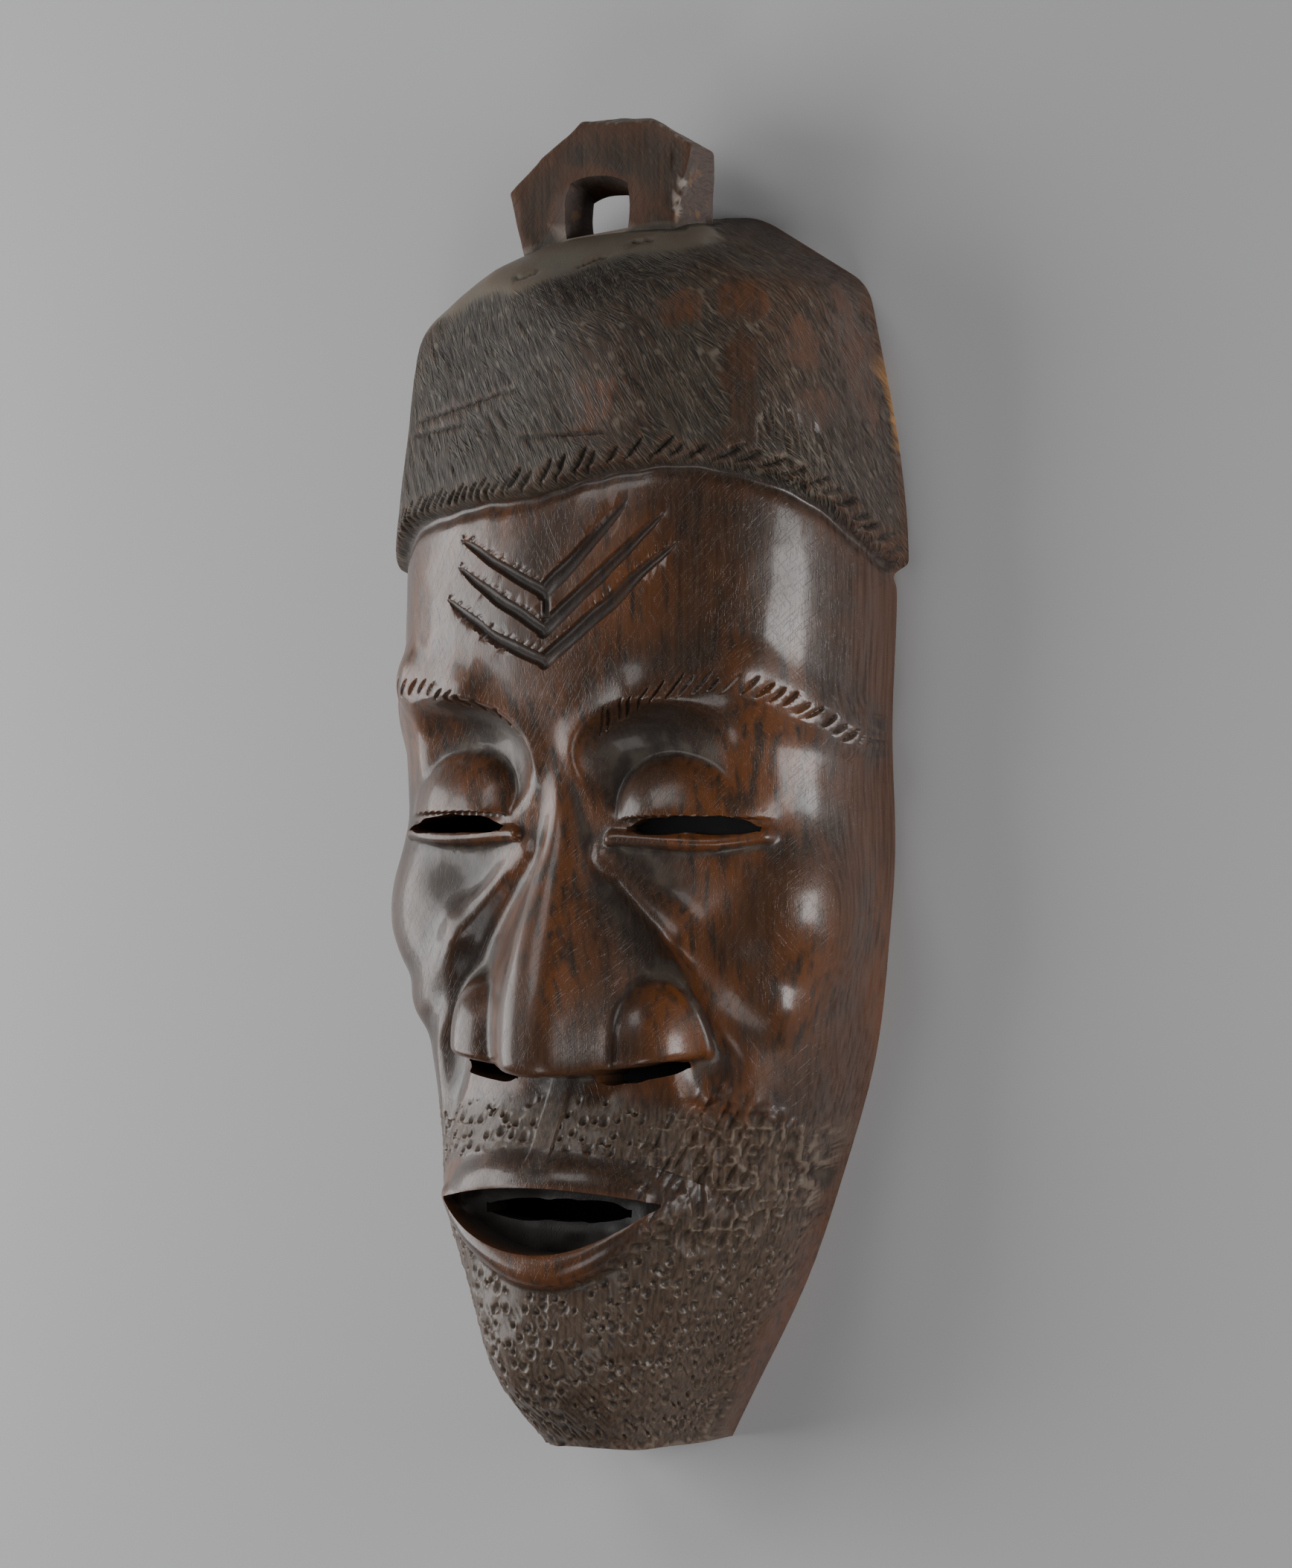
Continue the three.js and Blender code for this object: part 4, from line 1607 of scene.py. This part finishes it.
    def splits(self, p: Array) -> Array:
        """How far each point is in the lug's split wood, on its right corner and its left jamb.

        Args:
            p: points.

        Returns:
            One number from 0 to 1 a point.
        """
        x, y, z = p.T
        corner = ramp(x, 26, 28) * ramp(z, 39.5, 41) * ramp(192 - y, 0, 5)
        jamb = ramp(-x, 9.5, 10.5) * ramp(x, -14.5, -13) * ramp(z, 37, 40) * ramp(183 - y, 0, 4)
        return ramp(np.maximum(corner, 0.8 * jamb) + 0.7 * clouds(p, 1.6, 96), 0.8, 1.1)


# Finishes


class Value:
    """A number that changes over a surface, on which sums are written as Python expressions."""

    def __init__(self, paint: "Paint", socket: bpy.types.NodeSocket) -> None:
        """Wrap a socket of a material."""
        self.paint = paint
        self.socket = socket

    def work_out(self, operation: str, *numbers: "Value | float") -> "Value":
        """Add one Math node and wrap its result."""
        node = self.paint.node("ShaderNodeMath", {"operation": operation}, dict(enumerate(numbers)))
        return Value(self.paint, node.outputs[0])

    def __add__(self, other: "Value | float") -> "Value":
        """Add."""
        return self.work_out("ADD", self, other)

    def __sub__(self, other: "Value | float") -> "Value":
        """Take away."""
        return self.work_out("SUBTRACT", self, other)

    def __rsub__(self, other: float) -> "Value":
        """Take away from a number."""
        return self.work_out("SUBTRACT", other, self)

    def __mul__(self, other: "Value | float") -> "Value":
        """Multiply."""
        return self.work_out("MULTIPLY", self, other)

    __radd__ = __add__
    __rmul__ = __mul__

    def most(self, other: "Value | float") -> "Value":
        """The larger of two."""
        return self.work_out("MAXIMUM", self, other)

    def held(self) -> "Value":
        """The value kept from 0 to 1."""
        return self.work_out("MAXIMUM", self.work_out("MINIMUM", self, 1.0), 0.0)

    def rise(self, start: float, end: float) -> "Value":
        """Rise smoothly from 0 at start to 1 at end."""
        node = self.paint.node("ShaderNodeMapRange", {"interpolation_type": "SMOOTHSTEP"},
                               {"Value": self, "From Min": start, "From Max": end})
        return Value(self.paint, node.outputs[0])


Colour = tuple[float, float, float]
Tint = Colour | bpy.types.NodeSocket


class Paint:
    """One material and the nodes that make it."""

    def __init__(self, name: str) -> None:
        """Start a material.

        Args:
            name: its name.
        """
        self.material = bpy.data.materials.new(name)
        self.material.use_nodes = True
        self.shader = self.material.node_tree.nodes["Principled BSDF"]
        self.place = self.node("ShaderNodeTexCoord").outputs["Object"]

    def node(self, kind: str, settings: dict[str, Any] | None = None,
             inputs: dict[str | int, Any] | None = None) -> bpy.types.Node:
        """Add a node.

        Args:
            kind: its type.
            settings: its own settings, set first.
            inputs: a number, colour or link for each of its sockets, by name or number.

        Returns:
            The node.
        """
        node = self.material.node_tree.nodes.new(kind)
        for name, setting in (settings or {}).items():
            setattr(node, name, setting)
        for name, value in (inputs or {}).items():
            self.feed(node.inputs[name], value)
        return node

    def feed(self, socket: bpy.types.NodeSocket, value: Any) -> None:
        """Set or link one socket.

        Args:
            socket: the socket.
            value: a number, a colour or a link.
        """
        if isinstance(value, Value):
            value = value.socket
        if isinstance(value, bpy.types.NodeSocket):
            self.material.node_tree.links.new(value, socket)
        elif socket.type == "RGBA":
            socket.default_value = (*value, 1)
        else:
            socket.default_value = value

    def noted(self, name: str) -> Value:
        """A number noted on the mesh."""
        node = self.node("ShaderNodeAttribute", {"attribute_name": name})
        return Value(self, node.outputs["Fac"])

    def spread(self) -> bpy.types.NodeSocket:
        """Places on the surface as if it were rolled out flat."""
        return self.node("ShaderNodeAttribute", {"attribute_name": "spread"}).outputs["Vector"]

    def noise(self, size: Point, seed: float, turn: float = 0.0, detail: float = 2.0,
              rough: float = 0.5, place: bpy.types.NodeSocket | None = None) -> Value:
        """Noise from 0 to 1.

        Args:
            size: its lumps in millimetres, across, along and out.
            seed: which noise.
            turn: degrees by which the lumps are turned about Z.
            detail: how many finer layers it has.
            rough: how strong those are.
            place: other places to read it at than the object's own.

        Returns:
            The noise.
        """
        mapping = self.node("ShaderNodeMapping", {"vector_type": "TEXTURE"}, {
            "Vector": place or self.place, "Location": (seed * 0.37, seed * 0.53, seed * 0.71),
            "Rotation": (0, 0, math.radians(turn)), "Scale": tuple(MM * value for value in size)})
        noise = self.node("ShaderNodeTexNoise", None, {
            "Vector": mapping.outputs[0], "Scale": 1.0, "Detail": detail, "Roughness": rough})
        return Value(self, noise.outputs["Fac"])

    def layers(self, ground: Tint, *coats: tuple[Value | float, Tint]) -> Tint:
        """Lay coats of colour over a ground, each as thick as its factor, from 0 to 1.

        Args:
            ground: the lowest colour.
            coats: a factor and a colour each, from the lowest to the topmost.

        Returns:
            The colour that shows.
        """
        for factor, colour in coats:
            inputs = {0: factor, 6: ground, 7: colour}
            ground = self.node("ShaderNodeMix", {"data_type": "RGBA"}, inputs).outputs[2]
        return ground

    def bump(self, height: Value, millimetres: float, under: bpy.types.NodeSocket | None = None
             ) -> bpy.types.NodeSocket:
        """Raise the surface by a height.

        Args:
            height: the height, from 0 to 1.
            millimetres: what 1 stands for.
            under: the bump that it lies on.

        Returns:
            The bumped normal.
        """
        inputs = {"Strength": 1.0, "Distance": MM * millimetres, "Height": height}
        if under is not None:
            inputs["Normal"] = under
        return self.node("ShaderNodeBump", None, inputs).outputs[0]

    def finish(self, inputs: dict[str, Any]) -> bpy.types.Material:
        """Set the shader and hand over the material.

        Args:
            inputs: a number, colour or link for each of the shader's sockets.

        Returns:
            The material.
        """
        for name, value in inputs.items():
            self.feed(self.shader.inputs[name], value)
        return self.material


@dataclass(frozen=True)
class DarkWood:
    """Dark hardwood, oiled and rubbed to a gloss on the face, dull and scratched on the cap."""

    deep: Colour = (0.023, 0.0140, 0.0095)
    brown: Colour = (0.073, 0.0415, 0.0250)
    red: Colour = (0.172, 0.058, 0.0165)
    cap: Colour = (0.076, 0.060, 0.041)
    cap_deep: Colour = (0.014, 0.011, 0.008)
    cap_pale: Colour = (0.25, 0.215, 0.165)
    dust: Colour = (0.17, 0.135, 0.10)
    raw: Colour = (0.42, 0.22, 0.085)
    pale: Colour = (0.42, 0.36, 0.31)
    tan: Colour = (0.21, 0.155, 0.105)
    # a painted mauve-grey sheen, for surfaces turned to the side
    mauve_sheen: Colour = (0.135, 0.102, 0.092)
    bare: Colour = (0.055, 0.037, 0.026)
    # near black, painted as shade in the mouth's pocket
    painted_shade_black: Colour = (0.008, 0.006, 0.005)
    # smooth olive-grey wood under the lug, lightened as a painted sheen from above
    bevel: Colour = (0.270, 0.240, 0.185)
    beard: Colour = (0.135, 0.094, 0.062)
    coat_roughness: float = 0.16

    def scratches(self, paint: Paint) -> tuple[Value, Value]:
        """Fine knife scratches in patches of three directions.

        Args:
            paint: the material.

        Returns:
            How far each place is in a scratch, and how far on a scratch's raised edge.
        """
        place = paint.spread()
        patch = paint.noise((26, 26, 26), 12.0, detail=1.0, place=place)
        inside, edge = None, None
        for seed, across, along, turn, share in (
                (13.0, 0.75, 18.0, 35, 1.0), (14.0, 0.65, 15.0, 22, patch.rise(0.44, 0.52)),
                (15.0, 0.70, 15.0, 56, 1 - patch.rise(0.40, 0.48))):
            noise = paint.noise((across, along, 1.0), seed, turn=turn, detail=0.0, place=place)
            deep = noise.rise(0.58, 0.66) * share
            rim = (noise.rise(0.49, 0.53) - noise.rise(0.55, 0.59)).held() * share
            inside = deep if inside is None else inside.most(deep)
            edge = rim if edge is None else edge.most(rim)
        return inside, edge

    def colour(self, paint: Paint, scratched: Value, edge: Value) -> Tint:
        """Mottled wood, streaked along the grain, with dust and painted shade in the cuts, wear on the
        edges, painted highlights on scratch rims, a painted sheen on the sides and the bevel, and painted
        shade in the mouth's pocket.

        Args:
            paint: the material.
            scratched: how far each place is in a scratch.
            edge: how far on a scratch's raised edge.

        Returns:
            The colour.
        """
        mottle = paint.noise((42, 70, 42), 1.0, detail=3.0)
        grain = paint.noise((1.1, 26, 1.1), 2.0, detail=3.0)
        fleck = paint.noise((2.6, 14, 2.6), 3.0, turn=4, detail=2.0)
        dusty = paint.noise((7, 9, 7), 4.0, detail=3.0).rise(0.42, 0.62)
        scuffs = paint.noise((1.6, 6, 7), 6.0, detail=3.0)
        cap, smooth, beard, lug, lug_side, lug_top, warm, worn, crevice_shade_and_dust = map(paint.noted, (
            "cap", "smooth", "beard", "lug", "lug_side", "lug_top", "warm", "worn", "crevice_shade_and_dust"))
        warmth = mottle.rise(0.46, 0.68).most(warm) * (1 - cap * (1 - smooth * 0.9))
        warmth = warmth * (1 - lug * 0.6) * (1 - beard * 0.7)
        cap_wood = paint.layers(
            self.cap_deep,
            (grain.rise(0.35, 0.7) * 0.5 + mottle.rise(0.4, 0.6) * 0.4, self.cap),
            (warm * 0.35, self.red),
            # the smooth band's olive-grey, partly a painted sheen
            (paint.noted("bevel") * 0.65, self.bevel))
        return paint.layers(
            self.deep,
            (grain.rise(0.22, 0.85), self.brown),
            (warmth * fleck.rise(0.30, 0.58) * 0.9, self.red),
            (cap * (1 - lug) * (1 - smooth * 0.85) * 0.92, cap_wood),
            (scratched * 0.8, self.cap_deep),
            # painted highlight: the scratches' raised rims are painted pale, as if catching the light
            (edge * 0.45, self.cap_pale),
            (beard * grain.rise(0.2, 0.8) * 0.75, self.beard),
            # dust and painted shade in the chevron grooves
            (paint.noted("engraved").rise(0.1, 0.6) * 0.65, self.deep),
            (paint.noted("scraped") * edge.most(grain.rise(0.55, 0.65)) * 0.5, self.cap_pale),
            # painted sheen on the far sides
            (paint.noted("side") * grain.rise(0.2, 0.7) * 0.6, self.mauve_sheen),
            (worn * 0.35, self.red),
            (worn.rise(0.25, 0.8) * beard * 0.5, self.cap_pale),
            # painted shade: dips and cuts darkened towards the deep colour; the next coat is real dust
            (crevice_shade_and_dust.rise(0.15, 0.8) * 0.75, self.deep),
            (crevice_shade_and_dust.rise(0.35, 0.9) * dusty * 0.38, self.dust),
            # painted sheen on the lug's right-facing side; the next coat is scuffs
            (lug_side * 0.8, self.mauve_sheen),
            (lug_side * scuffs.rise(0.55, 0.66) * 0.35, self.raw),
            (lug_top * 0.6, self.tan),
            (lug_top * scuffs.rise(0.5, 0.62) * 0.5, self.pale),
            (paint.noted("lug_split") * 0.8, self.pale),
            (paint.noted("raw"), self.raw),
            (paint.noted("inside"), paint.layers(self.deep, (grain, self.bare))),
            # painted shade on the floor of the mouth's pocket
            (paint.noted("pocket") * 0.85, self.painted_shade_black))

    def make(self) -> bpy.types.Material:
        """Make the material.

        Returns:
            The material.
        """
        paint = Paint("dark_wood")
        cap, smooth, bevel, beard, lug, hacked, within, engraved, crevice_shade_and_dust = map(paint.noted, (
            "cap", "smooth", "bevel", "beard", "lug", "hacked", "inside", "engraved", "crevice_shade_and_dust"))
        dull = cap * (1 - smooth * 0.7) * (1 - bevel * 0.3)
        hatched = (dull - bevel * 0.8).held() * (1 - lug)
        inside, edge = self.scratches(paint)
        scratched = inside * hatched
        rough = dull.most(beard * 0.45).most(lug * 0.85).most(hacked).most(within).most(engraved * 0.5)
        smear = paint.noise((20, 34, 20), 7.0, detail=4.0, rough=0.6).rise(0.3, 0.75)
        roughness = 0.27 + smear * 0.13 + rough * 0.26 + crevice_shade_and_dust * 0.25 + lug * 0.22
        fibre = paint.noise((0.35, 7, 0.35), 8.0, detail=2.0)
        pores = paint.noise((0.45, 3.2, 0.45), 9.0, detail=1.0).rise(0.30, 0.42)
        nick = paint.noise((0.35, 16, 6), 10.0, turn=-34, detail=1.0).rise(0.60, 0.68)
        cross = paint.noise((0.30, 12, 6), 11.0, turn=28, detail=1.0).rise(0.64, 0.70)
        bump = paint.bump(fibre + pores, 0.026)
        bump = paint.bump(1 - nick.most(cross) * (0.22 + lug * 0.7), 0.16, bump)
        bump = paint.bump(1 - scratched + edge * hatched * 0.3, 0.30, bump)
        return paint.finish({
            "Base Color": self.colour(paint, scratched, edge * hatched.most(lug * 0.25)),
            "Roughness": roughness.held(), "Coat Weight": (0.36 - rough * 0.35).held(),
            "Coat Roughness": self.coat_roughness, "Normal": bump})


@dataclass(frozen=True)
class PaleFloor:
    """A plain pale floor, painted matt."""

    grey: Colour = (0.60, 0.60, 0.61)
    roughness: float = 0.75

    def make(self) -> bpy.types.Material:
        """Make the material."""
        return Paint("pale_floor").finish({"Base Color": self.grey, "Roughness": self.roughness})


# Studio


@dataclass(frozen=True)
class Studio:
    """The camera, the floor and the soft lights."""

    side_angle: float = 32.0
    distance: float = 2.0
    lens: float = 143.0
    film: float = 36.0
    aside: float = 0.0077
    down: float = 0.001
    floor_size: float = 16.0
    room_grey: Colour = (0.5, 0.5, 0.5)
    room_light: float = 0.16
    lamps: tuple[tuple[str, Point, float, float], ...] = (
        ("left_light", (-0.85, -0.02, 0.40), 0.74, 7.8), ("right_light", (0.95, 0.0, 0.21), 0.40, 4.6),
        ("top_light", (-0.25, 0.55, 0.85), 0.40, 1.5), ("low_light", (0.15, -0.65, 0.75), 0.40, 1.3))

    def camera(self) -> None:
        """Look down on the lying mask from its right-hand side."""
        angle = math.radians(self.side_angle)
        back = Vector((math.sin(angle), 0, math.cos(angle)))
        right = Vector((math.cos(angle), 0, -math.sin(angle)))
        up = Vector((0, 1, 0))
        data = bpy.data.cameras.new("camera")
        data.lens = self.lens
        data.sensor_width = self.film
        camera = bpy.data.objects.new("camera", data)
        bpy.context.scene.collection.objects.link(camera)
        turn = Matrix((right, up, back)).transposed().to_4x4()
        place = back * self.distance - right * self.aside - up * self.down
        camera.matrix_world = Matrix.Translation(place) @ turn
        bpy.context.scene.camera = camera

    def lamp(self, name: str, place: Point, size: float, power: float) -> None:
        """Hang a soft square light that faces the mask.

        Args:
            name: its name.
            place: where it hangs, in metres.
            size: its side in metres.
            power: its watts.
        """
        data = bpy.data.lights.new(name, "AREA")
        data.size = size
        data.energy = power
        lamp = bpy.data.objects.new(name, data)
        bpy.context.scene.collection.objects.link(lamp)
        lamp.location = place
        lamp.rotation_euler = (-Vector(place)).to_track_quat("-Z", "Y").to_euler()
        lamp.visible_camera = False

    def build(self) -> None:
        """Set up the camera, the floor and the lights."""
        self.camera()
        Bench.clear()
        bpy.ops.mesh.primitive_plane_add(size=self.floor_size, location=(0, 0, 0))
        floor = Bench.take("floor")
        floor.data.materials.append(PaleFloor().make())
        for lamp in self.lamps:
            self.lamp(*lamp)
        world = bpy.data.worlds.new("room")
        world.use_nodes = True
        colour, strength = world.node_tree.nodes["Background"].inputs[:2]
        colour.default_value = (*self.room_grey, 1)
        strength.default_value = self.room_light
        bpy.context.scene.world = world


def main() -> None:
    """Build the mask and its studio."""
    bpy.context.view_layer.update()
    mask = Mask().build()
    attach(mask, "root")
    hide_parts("mask")
    mask.data.materials.clear()
    mask.data.materials.append(DarkWood().make())
    log.info("%s: %d points", mask.name, len(mask.data.vertices))
    Studio().build()


if __name__ == "__main__":
    main()
